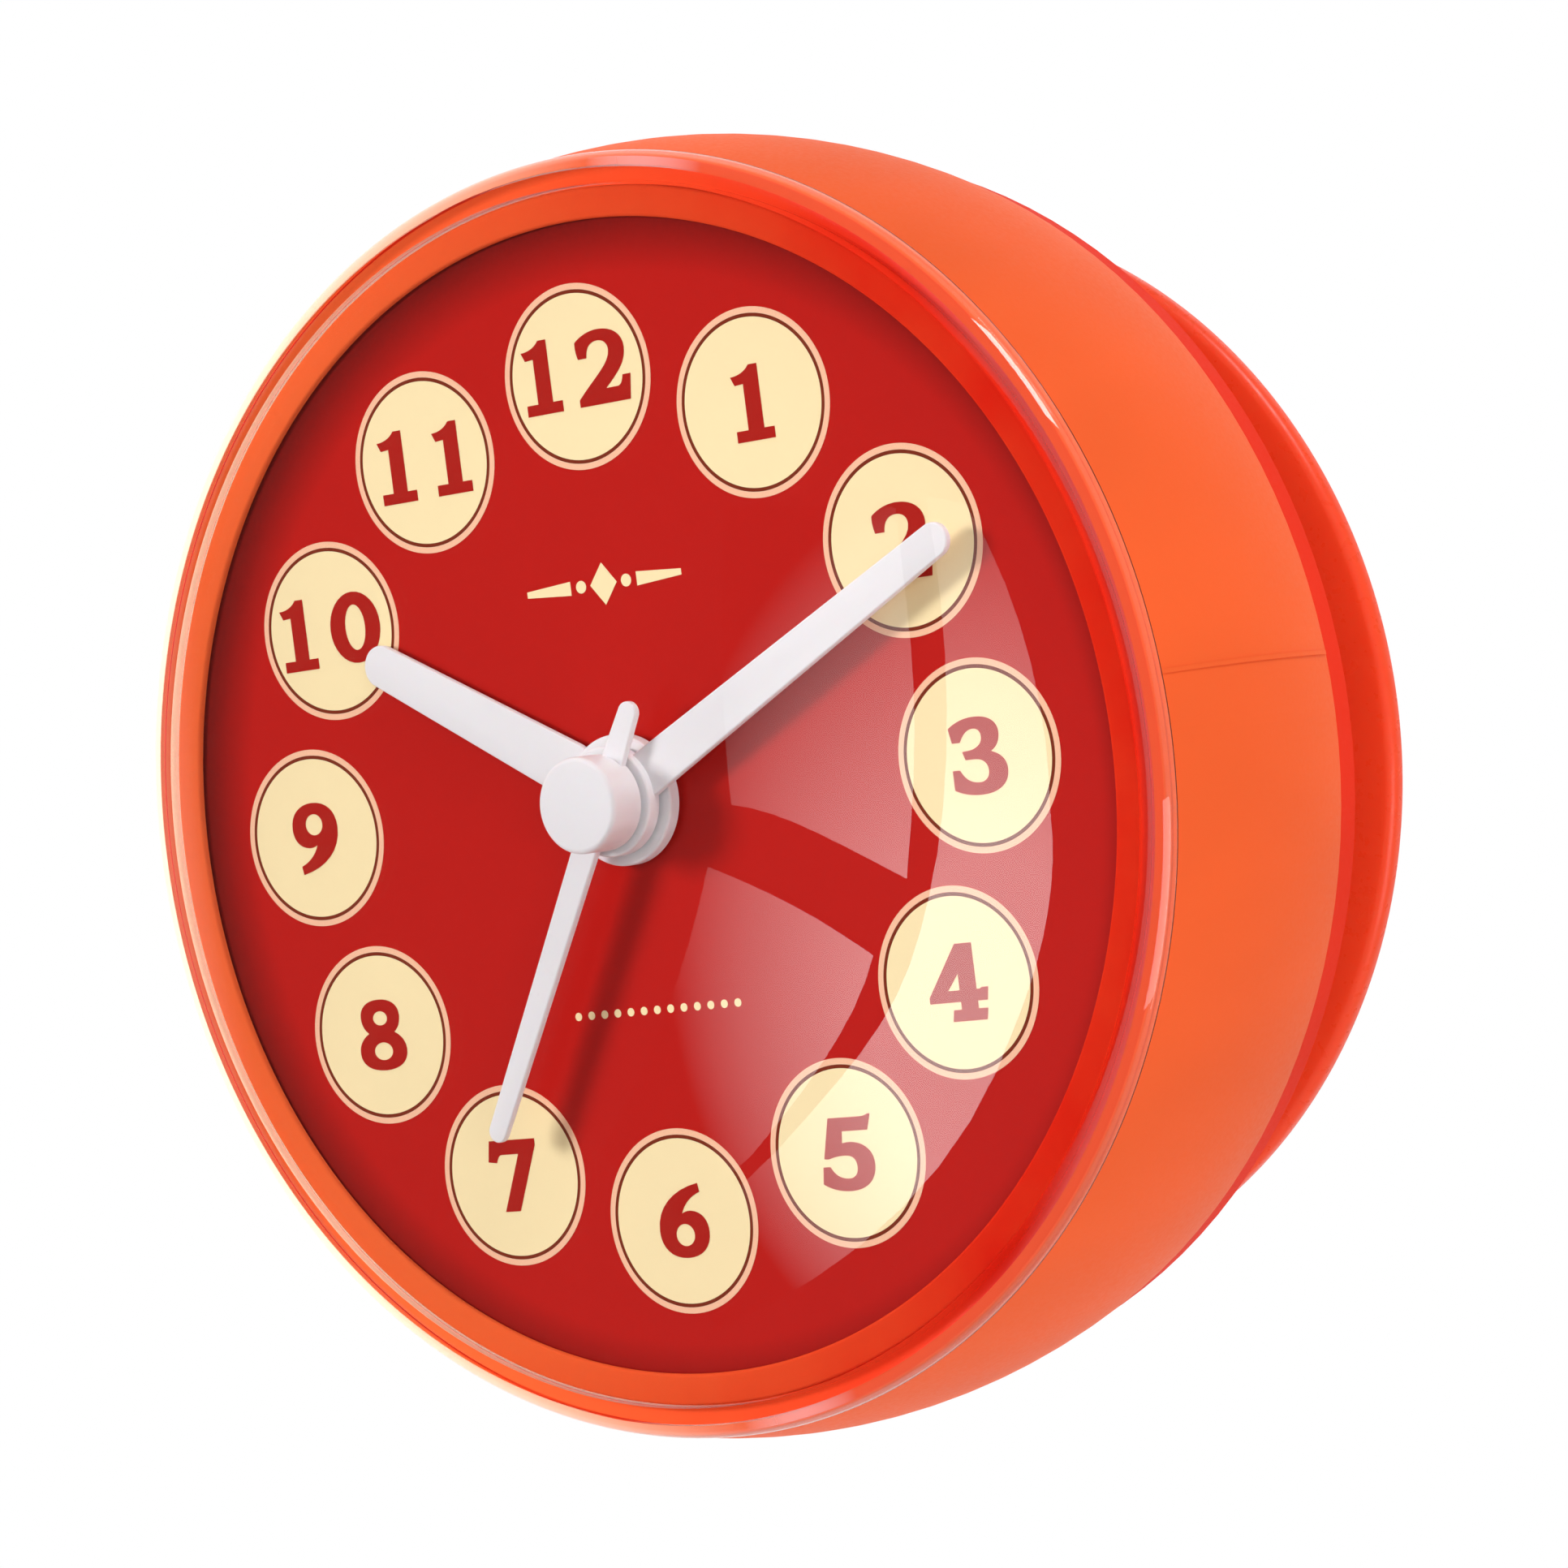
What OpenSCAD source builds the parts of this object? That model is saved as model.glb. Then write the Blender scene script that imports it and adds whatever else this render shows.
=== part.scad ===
// Waterproof shower clock: a sealed barrel case on a suction cup, with a quartz movement.
// Pieces are drawn with z out of the wall towards the viewer, y towards twelve o'clock and
// the wall at z = 0. They are then turned upright, so that the dial faces -Y and z is up.

/* [Dial and lens] */
// Radius of the printed dial
dial_r = 41.2; // [38:0.2:43]
// Thickness of the dial
dial_t = 1; // [0.8:0.1:1.5]
// Width of the ledge around the dial that carries the lens
ledge_w = 3.1; // [2.8:0.1:5]
// Depth of that ledge below the face of the dial
ledge_drop = 0.8; // [0.6:0.1:0.8]
// Thickness of the seal under the lens
lens_seal_t = 0.5; // [0.3:0.1:0.6]
// How far the rim of that seal reaches over the edge of the dial
rim_over = 0.4; // [0.2:0.1:0.8]
// Height of that rim above the face of the dial
rim_rise = 0.5; // [0.3:0.1:0.8]
// Width of the lens where it sits on its seal
lens_foot_w = 1.2; // [1:0.1:2.6]
// Height of the upright inner wall of the lens above its seal
lens_wall_h = 2; // [1.2:0.1:2.2]
// Height of the upright edge of the lens above the front lip
lens_edge_h = 1; // [0.4:0.1:1.4]
// Thickness of the lens at its middle
lens_t = 1.6; // [1.2:0.1:2.4]
// Room between the cap of the second hand and the lens
lens_room = 1.8; // [1:0.1:3]

/* [Case] */
// Thickness of the front lip around the lens
lip_wall = 0.9; // [0.6:0.1:1.4]
// Height of the front lip above the face of the dial
lip_h = 1.4; // [1.2:0.1:1.8]
// Wall of the case at its rear edge
case_wall = 2.7; // [2:0.1:4]
// How far the side swells past the wider of its two ends
case_bulge = 1; // [0.4:0.1:2]
// Distance of the widest point behind the face of the dial
bulge_back = 9; // [7:0.5:12]
// Rounding of the rear edge of the case
rear_round = 0.5; // [0.2:0.1:0.8]
// Thickness of the web between the dial and the movement
web_t = 2; // [1.5:0.1:3]
// Room in the case behind the movement
tail_room = 1; // [0.5:0.1:2]

/* [Hands] */
// Length of the hour hand from the axis
hour_len = 25.5; // [20:0.5:28]
// Direction of the hour hand, clockwise from twelve o'clock
hour_at = 299.5; // [0:0.5:360]
// Width of the hour hand at its hub
hour_w = 4.4; // [3:0.1:5]
// Width of the hour hand at its tip
hour_tip_w = 3.1; // [1:0.1:3.5]
// Radius of the hour hub
hour_hub_r = 4.65; // [4:0.05:5.5]
// Height of the hour hub
hour_hub_h = 1; // [0.8:0.1:1.4]
// Length of the minute hand from the axis
minute_len = 34.5; // [28:0.5:36]
// Direction of the minute hand, clockwise from twelve o'clock
minute_at = 64; // [0:0.5:360]
// Width of the minute hand at its hub
minute_w = 3.5; // [2:0.1:4]
// Width of the minute hand at its tip
minute_tip_w = 2.4; // [1:0.1:3]
// Radius of the minute hub
minute_hub_r = 3.9; // [3:0.1:4.5]
// Height of the minute hub
minute_hub_h = 1.1; // [0.8:0.1:1.4]
// Length of the second hand from the axis
second_len = 26.7; // [20:0.1:30]
// Direction of the second hand, clockwise from twelve o'clock
second_at = 210; // [0:0.5:360]
// Length of the tail of the second hand
tail_len = 7.7; // [5:0.1:12]
// Width of the second hand at its hub
second_w = 2.2; // [1.2:0.1:3]
// Width of the second hand at its tips
second_tip_w = 1.6; // [0.8:0.1:2]
// Radius of the cap of the second hand
cap_r = 3.4; // [2.5:0.1:4]
// Height of the cap of the second hand
cap_h = 3; // [2:0.1:3.5]
// Thickness of the blades of the hands
hand_t = 0.5; // [0.3:0.1:0.7]
// Gap between the dial and the hands and between the hands
hand_gap = 0.3; // [0.2:0.1:0.5]

/* [Rear cover] */
// Distance of the back of the cover behind the case
cover_depth = 9; // [8:0.5:12]
// Wall of the cover
cover_t = 2; // [1.5:0.1:3]
// Radius of the flat back of the cover
cover_back_r = 41.5; // [38:0.5:43]
// Thickness of the rim of the cover
cover_rim_t = 2; // [1.5:0.1:3]
// How far the rim lies inside the rear edge of the case
cover_setback = 0.4; // [0:0.1:1]
// Wall of the bayonet collar
collar_t = 2; // [1.6:0.1:3]
// Room between the collar and the corners of the movement
movement_room = 2; // [1:0.1:4]
// Number of bayonet lugs
lug_count = 3; // [2:1:4]
// Angle that each lug spans
lug_deg = 28; // [16:1:32]
// How far the lugs stand out from the collar
lug_h = 1.3; // [1:0.1:2]
// Thickness of the lugs along the axis
lug_t = 1.8; // [1.2:0.1:2.4]
// Thickness of the ledges that the lugs lock behind
catch_t = 1.6; // [1.2:0.1:2.4]
// Cord diameter of the cover seal
seal_d = 1.4; // [1:0.1:2]
// Number of stiffening ribs inside the cover
rib_count = 9; // [3:1:16]
// Height of those ribs
rib_h = 2; // [1:0.1:2.5]

/* [Suction cup] */
// Radius of the suction cup at the wall
cup_r = 41.3; // [35:0.1:46]
// Height of the dome of the cup
cup_dome_h = 6.2; // [5:0.1:9]
// Wall of the cup at its middle
cup_t = 2.2; // [1.6:0.1:3]
// Thickness of the edge of the cup
cup_edge_t = 1.6; // [0.8:0.1:2.4]
// Width of the flat lip that lies on the wall
cup_lip_w = 1.5; // [1:0.1:4]
// Radius of the shoulder that bears on the cover
shoulder_r = 12; // [9:0.5:16]
// Height of that shoulder above the dome
shoulder_h = 1.7; // [1:0.1:4]
// Radius of the stem
stem_r = 5; // [4:0.1:6]
// Length of the stem in the cover
stem_len = 1.5; // [1:0.1:2]
// Radius of the button that holds the stem
button_r = 7.4; // [6.5:0.1:8.5]
// Thickness of the button
button_h = 2.8; // [2:0.1:3.4]
// Wall of the socket around the button
socket_wall = 1.8; // [1.2:0.1:2.4]

/* [Movement] */
// Diameter of the AA cell
battery_d = 14.5; // [13.5:0.1:14.5]
// Length of the AA cell over its terminals
battery_len = 50.5; // [49.2:0.1:50.5]
// Thickness of the contact strips
contact_t = 0.4; // [0.3:0.1:0.6]
// Height of the bow of the contact springs
contact_bow = 0.9; // [0.6:0.1:1.4]
// Walls of the movement tray
tray_wall = 1.4; // [1.2:0.1:1.8]
// Floor of the battery bay
bay_floor = 0.8; // [0.6:0.1:1]
// Thickness of the movement plate
plate_t = 1.2; // [1:0.1:1.5]
// Corner radius of the movement
movement_round = 5; // [3:0.5:6]
// Thickness of the soft washer round the bush
washer_t = 0.5; // [0.3:0.1:0.8]
// Radius of the soft washer
washer_r = 9; // [6:0.5:12]
// Wall of the bush that carries the hour tube
bush_wall = 1.15; // [0.8:0.05:1.4]
// Reach of the screw lugs beyond the tray
lug_reach = 3.2; // [2.6:0.1:4]
// Thickness of the screw lugs
screw_lug_t = 2; // [1.5:0.1:3]
// Height of the screw bosses on the web
boss_h = 3; // [2:0.1:5]
// Radius of the screw shanks
screw_r = 0.9; // [0.7:0.05:1.2]
// Radius of the setting knob
knob_r = 4.5; // [3.5:0.1:5.5]
// Thickness of the setting knob
knob_h = 2; // [1:0.1:2.5]

/* [Gear train] */
// Distance of the third and intermediate arbors from the centre
wheel_centres = 11.6; // [11:0.1:12]
// Distance of the rotor from the intermediate arbor
rotor_centres = 9; // [8.6:0.1:9.4]
// Distance of the motion wheel from the centre
motion_centres = 9.6; // [9.2:0.1:10]
// Face width of the wheels
wheel_t = 1; // [0.8:0.1:1.1]
// Room between the wheels or the coil and the walls
wheel_room = 0.3; // [0.2:0.1:0.6]
// Gap between neighbouring wheels along the axis
layer_gap = 0.4; // [0.3:0.05:0.5]
// Radius of the second arbor
second_arbor_r = 0.5; // [0.4:0.05:0.6]
// Wall of the cannon pinion's tube
cannon_wall = 1; // [0.8:0.05:1.1]
// Wall of the hour tube
hour_wall = 0.8; // [0.6:0.05:0.9]
// Radius of the arbors of the wheels
arbor_r = 0.6; // [0.5:0.05:0.8]
// Depth of the pivots in their holes
pivot_depth = 0.7; // [0.5:0.05:0.8]
// Radius of the coil
coil_r = 2.4; // [2:0.1:2.6]
// Length of the coil bobbin
bobbin_len = 20; // [14:0.5:21]
// Radius of the rotor magnet
magnet_r = 3; // [2.5:0.1:3.4]
// Length of the rotor magnet
magnet_t = 2.6; // [2:0.1:3]

/* [Fits] */
// Clearance between fixed pieces that go together by hand
fit_gap = 0.1; // [0.05:0.01:0.2]
// Clearance between pieces that are pressed together
press_gap = 0.01; // [0:0.01:0.03]
// Running clearance of arbors and tubes, on the radius
run_gap = 0.05; // [0.02:0.01:0.08]
// Clearance between the case and the cover, which turn on each other
turn_gap = 0.3; // [0.2:0.05:0.5]

/* [Hidden] */
$fn = 96;

// Colours
case_orange = [0.94, 0.37, 0.20];
cup_red = [0.87, 0.22, 0.11];
dial_red = [0.72, 0.11, 0.09];
hand_white = [0.90, 0.89, 0.90];
clear_glass = [0.85, 0.90, 0.92, 0.35];
movement_black = [0.10, 0.10, 0.11];
gear_white = [0.92, 0.91, 0.86];
steel_grey = [0.70, 0.71, 0.73];
copper_red = [0.72, 0.38, 0.20];

// Teeth, which set the ratios of the train
rotor_teeth = 12;
intermediate_teeth = 60;
intermediate_pinion_teeth = 10;
second_teeth = 60;
second_pinion_teeth = 10;
third_teeth = 75;
third_pinion_teeth = 10;
centre_teeth = 80;
cannon_teeth = 12;
motion_teeth = 36;
motion_pinion_teeth = 10;
hour_teeth = 40;
setting_teeth = 12;
pressure_angle = 25;
addendum = 0.8;
dedendum = 1.15;
backlash = 0.2;

// Directions of the arbors, anticlockwise from three o'clock
third_dir = 150;
intermediate_dir = 40;
rotor_dir = 75;
motion_dir = -10;
setting_dir = 30;

// Places of the arbors
third_at = polar(wheel_centres, third_dir);
intermediate_at = polar(wheel_centres, intermediate_dir);
rotor_at = intermediate_at + polar(rotor_centres, rotor_dir);
motion_at = polar(motion_centres, motion_dir);
motion_module = 2 * motion_centres / (cannon_teeth + motion_teeth);
hour_module = 2 * motion_centres / (motion_pinion_teeth + hour_teeth);
setting_centres = motion_module * (motion_teeth + setting_teeth) / 2;
setting_at = motion_at + polar(setting_centres, setting_dir);
third_module = 2 * wheel_centres / (second_pinion_teeth + third_teeth);
centre_module = 2 * wheel_centres / (third_pinion_teeth + centre_teeth);
second_module = 2 * wheel_centres / (second_teeth + intermediate_pinion_teeth);
rotor_module = 2 * rotor_centres / (intermediate_teeth + rotor_teeth);
motion_phase = mesh_phase(cannon_teeth, 0, motion_teeth, motion_dir);
rotor_pivot_r = 0.4;
rotor_hub_r = 2 * rotor_pivot_r;
setting_shaft_r = 1;

// Motor: the core of the coil lies above the rotor, and the poles reach round the magnet
core_w = 2;
stator_t = 0.8;
pole_r = magnet_r + 2;
bobbin_flange = 0.6;
winding_t = 0.8;
core_y = rotor_at[1] + pole_r + coil_r + wheel_room;
stator_right = rotor_at[0] + pole_r;
stator_left = stator_right - bobbin_len - 4 * core_w - 3;
bobbin_x = (stator_left + stator_right) / 2;
stator_post_r = 1.2;
stator_posts = [stator_left + core_w, stator_right - core_w];

// Sizes of the movement, from the cell and the wheels outwards
battery_r = battery_d / 2;
bay_gap = 0.1;
bay_len = battery_len + 2 * (contact_t + contact_bow);
bay_w = battery_d + 2 * bay_gap;
centre_tip_r = centre_module * (centre_teeth / 2 + addendum);
gear_low = -centre_tip_r - wheel_room;
divider_y = gear_low - tray_wall;
battery_drop = bay_w / 2 - divider_y;
movement_low = battery_drop + bay_w / 2 + tray_wall;
gear_high = core_y + coil_r + wheel_room;
movement_high = gear_high + tray_wall;
movement_w = bay_len + 2 * tray_wall;
movement_half = movement_w / 2;
movement_corner = movement_round
    + norm([movement_half - movement_round, max(movement_low, movement_high) - movement_round]);
layers = 6;
train_t = layers * (wheel_t + layer_gap) + layer_gap + magnet_t / 2 + coil_r + wheel_room;
movement_t = max(bay_floor + bay_w, tray_wall + train_t + plate_t);

// Radii of the case and cover, from the movement outwards
collar_in_r = movement_corner + movement_room;
collar_r = collar_in_r + collar_t;
lug_r = collar_r + lug_h;
bore_r = lug_r + turn_gap;
land_r = bore_r - turn_gap;
rear_r = bore_r + case_wall;
recess_r = dial_r + fit_gap;
lens_r = dial_r + ledge_w;
seat_r = lens_r + fit_gap;
lip_r = seat_r + lip_wall;
bulge_r = max(lip_r, rear_r) + case_bulge;
rim_r = rear_r - cover_setback;

// Planes of the clock, outwards from the wall
z_back = cup_dome_h + shoulder_h + fit_gap;
z_rear = z_back + cover_depth;
z_movement_back = z_rear + tail_room;
z_movement = z_movement_back + movement_t;
z_web = z_movement + washer_t;
z_recess = z_web + web_t;
z_dial = z_recess + dial_t;
z_ledge = z_dial - ledge_drop;
z_lens = z_ledge + lens_seal_t;
z_lip = z_dial + lip_h;
z_bulge = z_dial - bulge_back;
z_bush = z_dial + hand_gap / 2;
z_hour = z_bush + hand_gap;
z_hour_top = z_hour + hour_hub_h;
z_minute = z_hour_top + hand_gap;
z_minute_top = z_minute + minute_hub_h;
z_second = z_minute_top + hand_gap;
z_cap = z_second + cap_h;
cap_round = 0.4;
z_arbor_top = z_cap - 2 * cap_round;
z_lens_in = z_cap + lens_room;
z_lens_top = z_lens_in + lens_t;

// Planes of the bayonet
seal_land = 0.7;
z_seal = z_rear + seal_d / 2 + seal_land;
z_land = z_seal + seal_d / 2 + seal_land;
z_catch = z_land + turn_gap;
z_lug = z_catch + catch_t + turn_gap;
z_collar = z_lug + lug_t;

// Planes inside the movement
z_tray_in = z_movement - tray_wall;
z_plate_in = z_movement_back + plate_t;
pivot_front = z_tray_in + pivot_depth - fit_gap;
pivot_back = z_plate_in - pivot_depth + fit_gap;
z_cell = z_movement - bay_floor - bay_gap - battery_r;
magnet_front = layer_back(layers - 1) - layer_gap;
magnet_back = magnet_front - magnet_t;
coil_z = (magnet_front + magnet_back) / 2;
z_stator = coil_z - stator_t / 2;

// Circuit board, in the corner of the tray beside the coil
board_t = 0.8;
board_h = 15;
board_gap = 1.5;
board_stand = 1;
board_x = board_gap - bay_len / 2;
board_w = stator_left - wheel_room - board_x;
board_y = gear_high - board_gap - board_h;
z_board = z_tray_in - board_stand;
post_r = 1.2;
pin_r = post_r / 2;
post_inset = 2;
board_posts = [
    [board_x + post_inset, board_y + post_inset],
    [board_x + board_w - post_inset, board_y + board_h - post_inset]
];

// Tubes on the centre, one inside the other
cannon_bore_r = second_arbor_r + run_gap;
cannon_r = cannon_bore_r + cannon_wall;
hour_bore_r = cannon_r + run_gap;
hour_r = hour_bore_r + hour_wall;
bush_bore_r = hour_r + run_gap;
bush_r = bush_bore_r + bush_wall;
bush_hole_r = bush_r + fit_gap;

// Screws, dial feet and knob
screw_x = movement_half + lug_reach;
screw_boss_r = screw_r + 1.6;
screw_head_r = screw_r + 1;
screw_head_t = 1.3;
screw_slot_w = 0.5;
z_boss = z_web - boss_h;
z_screw_lug = z_boss - screw_lug_t;
screw_tip = z_boss + boss_h * 0.85;
foot_r = 0.8;
foot_ring_r = 30;
knob_gap = 0.5;
z_knob = z_movement_back - knob_gap;

// Depth by which joined forms run into each other, and by which cuts run past a face
sink = 0.1;
past = 1;

function polar(r, a) = [r * cos(a), r * sin(a)];

function arc(centre, r, from, to, steps) =
    [for (i = [0:steps]) centre + polar(r, from + (to - from) * i / steps)];

// Circle through three points of a profile, as [centre, radius]
function circle_through(a, b, c) =
    let (
        p = b - a,
        q = c - a,
        d = 2 * (p[0] * q[1] - p[1] * q[0]),
        u = [q[1] * (p * p) - p[1] * (q * q), p[0] * (q * q) - q[0] * (p * p)] / d
    ) [a + u, norm(u)];

// Radius of a dome that rises by h over the radius r
function dome_r(r, h) = (r * r + h * h) / (2 * h);

function layer_front(i) = z_tray_in - layer_gap - i * (wheel_t + layer_gap);
function layer_back(i) = layer_front(i) - wheel_t;

function involute(a) = tan(a) * 180 / PI - a;

// Outline of a spur gear: six points a tooth, with the flanks on an involute
function gear_points(teeth, mod) =
    let (
        r = teeth * mod / 2,
        base = r * cos(pressure_angle),
        half = 90 / teeth - backlash * mod / 4 / r * 180 / PI + involute(pressure_angle),
        radii = [r - dedendum * mod, r, r + addendum * mod],
        spans = [for (q = radii) half - involute(acos(base / max(q, base)))]
    )
    [
        for (k = [0:teeth - 1], i = [0:5])
            let (side = i < 3 ? -1 : 1, j = i < 3 ? i : 5 - i)
                polar(radii[j], 360 * k / teeth + side * spans[j])
    ];

// Turn of the second gear of a pair that puts its gap on a tooth of the first
function mesh_phase(teeth_a, phase_a, teeth_b, dir) =
    dir + 180 - (180 - teeth_a * (dir - phase_a)) / teeth_b;

function rounded(w, h, r) =
    concat(
        arc([w / 2 - r, h / 2 - r], r, 0, 90, 8), arc([r - w / 2, h / 2 - r], r, 90, 180, 8),
        arc([r - w / 2, r - h / 2], r, 180, 270, 8), arc([w / 2 - r, r - h / 2], r, 270, 360, 8)
    );

module facing() rotate([90, 0, 0]) children();

module at(place) translate([place[0], place[1], 0]) children();

module disc(r, z0, z1) translate([0, 0, z0]) cylinder(r = r, h = z1 - z0);

module ring(r_out, r_in, z0, z1)
    difference() {
        disc(r_out, z0, z1);
        disc(r_in, z0 - past, z1 + past);
    }

module sector(r0, r1, z0, z1, span)
    rotate(-span / 2) rotate_extrude(angle = span) translate([r0, z0]) square([r1 - r0, z1 - z0]);

module gear(teeth, mod, phase, z0, z1)
    translate([0, 0, z0]) linear_extrude(z1 - z0) rotate(phase) polygon(gear_points(teeth, mod));

// Flat blade with a round tip, along the clock direction given
module blade(len, w, tip_w, clock, z)
    translate([0, 0, z]) rotate(90 - clock) linear_extrude(hand_t)
        polygon(concat([[0, w / 2], [0, -w / 2]], arc([len - tip_w / 2, 0], tip_w / 2, -80, 80, 16)));

// Case

module barrel_profile() {
    swell = circle_through([lip_r, z_lip], [bulge_r, z_bulge], [rear_r, z_rear]);
    centre = swell[0];
    round_c = [rear_r - rear_round, z_rear + rear_round];
    lip_round = lip_wall * 0.45;
    lip_c = [lip_r - lip_round, z_lip - lip_round];
    low = atan2(z_rear + rear_round - centre[1], rear_r - centre[0]);
    high = atan2(z_lip - lip_round - centre[1], lip_r - centre[0]);
    polygon(concat(
        [[0, z_rear]], arc(round_c, rear_round, 270, 345, 5), arc(centre, swell[1], low, high, 40),
        arc(lip_c, lip_round, 10, 90, 5), [[0, z_lip]]
    ));
}

module case_shell() color(case_orange) facing()
    difference() {
        union() {
            difference() {
                rotate_extrude() barrel_profile();
                disc(bore_r, z_rear - past, z_web);
                disc(recess_r, z_recess, z_lip + past);
                disc(seat_r, z_ledge, z_lip + past);
            }
            for (k = [0:lug_count - 1]) rotate(360 * k / lug_count) bayonet_catch();
            for (side = [-1, 1]) translate([side * screw_x, 0, 0])
                disc(screw_boss_r, z_boss, z_web + web_t / 2);
        }
        disc(bush_hole_r, z_web - past, z_lip);
        for (side = [-1, 1]) translate([side * screw_x, 0, 0])
            disc(screw_r + press_gap, z_boss - past, screw_tip + fit_gap);
        for (side = [-1, 1]) at([0, side * foot_ring_r]) disc(foot_r + run_gap, z_web - past, z_lip);
    }

// Ledge that a lug of the cover locks in front of, with the stop that ends its turn
module bayonet_catch() {
    catch_in = collar_r + turn_gap;
    stop_deg = 5;
    stop_play = 1;
    sector(catch_in, bore_r + case_wall / 2, z_catch, z_catch + catch_t, lug_deg);
    rotate(lug_deg / 2 + stop_play + stop_deg / 2)
        sector(catch_in, bore_r + case_wall / 2, z_catch, z_collar, stop_deg);
}

module lens() color(clear_glass) facing() {
    inner_r = lens_r - lens_foot_w;
    outer = dome_r(lens_r, z_lens_top - z_lip - lens_edge_h);
    inner = dome_r(inner_r, z_lens_in - z_lens - lens_wall_h);
    rotate_extrude() difference() {
        intersection() {
            translate([0, z_lens_top - outer]) circle(outer);
            translate([0, z_lens]) square([lens_r, z_lens_top]);
        }
        intersection() {
            translate([0, z_lens_in - inner]) circle(inner);
            translate([0, z_lens - past]) square([inner_r, z_lens_top]);
        }
    }
}

// Flat ring under the lens, with a rim inside the lens that holds the edge of the dial down
module lens_seal() color(cup_red) facing() {
    rim_out = lens_r - lens_foot_w - fit_gap;
    z_rim = z_dial + rim_rise;
    rotate_extrude() polygon([
        [recess_r + fit_gap, z_ledge], [lens_r - fit_gap, z_ledge], [lens_r - fit_gap, z_lens],
        [rim_out, z_lens], [rim_out, z_rim], [dial_r - rim_over, z_rim],
        [dial_r - rim_over, z_dial + fit_gap], [recess_r + fit_gap, z_dial + fit_gap]
    ]);
}

module dial() color(dial_red) facing() {
    ring(dial_r, bush_hole_r, z_recess, z_dial);
    for (side = [-1, 1]) at([0, side * foot_ring_r]) disc(foot_r, z_web, z_recess + dial_t / 2);
}

// Hands

module hour_hand() color(hand_white) facing()
    difference() {
        union() {
            disc(hour_hub_r, z_hour, z_hour_top);
            blade(hour_len, hour_w, hour_tip_w, hour_at, z_hour);
        }
        disc(hour_r + press_gap, z_hour - past, z_hour_top + past);
    }

module minute_hand() color(hand_white) facing()
    difference() {
        union() {
            disc(minute_hub_r, z_minute, z_minute_top);
            blade(minute_len, minute_w, minute_tip_w, minute_at, z_minute);
        }
        disc(cannon_r + press_gap, z_minute - past, z_minute_top + past);
    }

module second_hand() color(hand_white) facing()
    difference() {
        union() {
            rotate_extrude() polygon(concat(
                [[0, z_second], [cap_r, z_second]],
                arc([cap_r - cap_round, z_cap - cap_round], cap_round, 0, 90, 5), [[0, z_cap]]
            ));
            blade(second_len, second_w, second_tip_w, second_at, z_second);
            blade(tail_len, second_w, second_tip_w, second_at + 180, z_second);
        }
        disc(second_arbor_r + press_gap, z_second - past, z_arbor_top);
    }

// Rear cover and suction cup

module rear_cover() color(cup_red) facing() {
    rim_z = z_rear - turn_gap;
    back_round = 1.2;
    groove_r = bore_r - run_gap - seal_d - run_gap;
    groove_w = seal_d / 2 + fit_gap;
    socket_r = button_r + fit_gap + socket_wall;
    socket_top = z_back + stem_len + button_h + 2 * fit_gap + socket_wall;
    floor_z = z_back + cover_t;
    difference() {
        union() {
            rotate_extrude() polygon(concat([[0, z_back]],
                arc([cover_back_r - back_round, z_back + back_round], back_round, 270, 325, 5), [
                [rim_r, rim_z - cover_rim_t], [rim_r, rim_z], [land_r, rim_z],
                [land_r, z_seal - groove_w], [groove_r, z_seal - groove_w],
                [groove_r, z_seal + groove_w], [land_r, z_seal + groove_w],
                [land_r, z_land], [collar_r, z_land], [collar_r, z_collar],
                [collar_in_r, z_collar], [collar_in_r, rim_z - cover_rim_t + cover_t],
                [cover_back_r - cover_t, floor_z], [0, floor_z]
            ]));
            for (k = [0:lug_count - 1]) rotate(360 * k / lug_count)
                sector(collar_r - collar_t / 2, lug_r, z_lug, z_collar, lug_deg);
            disc(socket_r, z_back + cover_t / 2, socket_top);
            for (k = [0:rib_count - 1]) rotate(360 * (k + 0.5) / rib_count) cover_rib(socket_r, floor_z);
        }
        disc(stem_r + fit_gap, z_back - past, z_back + stem_len + fit_gap);
        disc(button_r + fit_gap, z_back + stem_len, z_back + stem_len + button_h + 2 * fit_gap);
    }
}

// Radial rib on the floor of the cover, from its socket to its side wall
module cover_rib(from, floor_z) {
    rib_t = 1.2;
    translate([from - past, -rib_t / 2, floor_z - sink])
        cube([cover_back_r - cover_t - from + past, rib_t, rib_h + sink]);
}

module cover_seal() color(movement_black) facing()
    rotate_extrude() translate([bore_r - run_gap - seal_d / 2, z_seal]) circle(d = seal_d);

module suction_cup() color(cup_red) facing() {
    outer = dome_r(cup_r, cup_dome_h - cup_edge_t);
    hollow_h = cup_dome_h - cup_t;
    inner = dome_r(cup_r - cup_lip_w, hollow_h);
    z_button = z_back + stem_len + fit_gap;
    rotate_extrude() difference() {
        union() {
            intersection() {
                translate([0, cup_dome_h - outer]) circle(outer);
                square([cup_r, cup_dome_h]);
            }
            translate([0, cup_dome_h - cup_t / 2]) polygon([
                [0, 0], [shoulder_r, -cup_t / 4],
                [shoulder_r - past, z_back - fit_gap - cup_dome_h + cup_t / 2],
                [0, z_back - fit_gap - cup_dome_h + cup_t / 2]
            ]);
            translate([0, cup_dome_h]) square([stem_r, z_button + button_h / 2 - cup_dome_h]);
            translate([0, z_button]) square([button_r, button_h]);
        }
        intersection() {
            translate([0, hollow_h - inner]) circle(inner);
            translate([0, -past]) square([cup_r, hollow_h + 2 * past]);
        }
    }
}

// Movement housing

module tray_outline() translate([0, (movement_high - movement_low) / 2])
    polygon(rounded(movement_w, movement_low + movement_high, movement_round));

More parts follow.
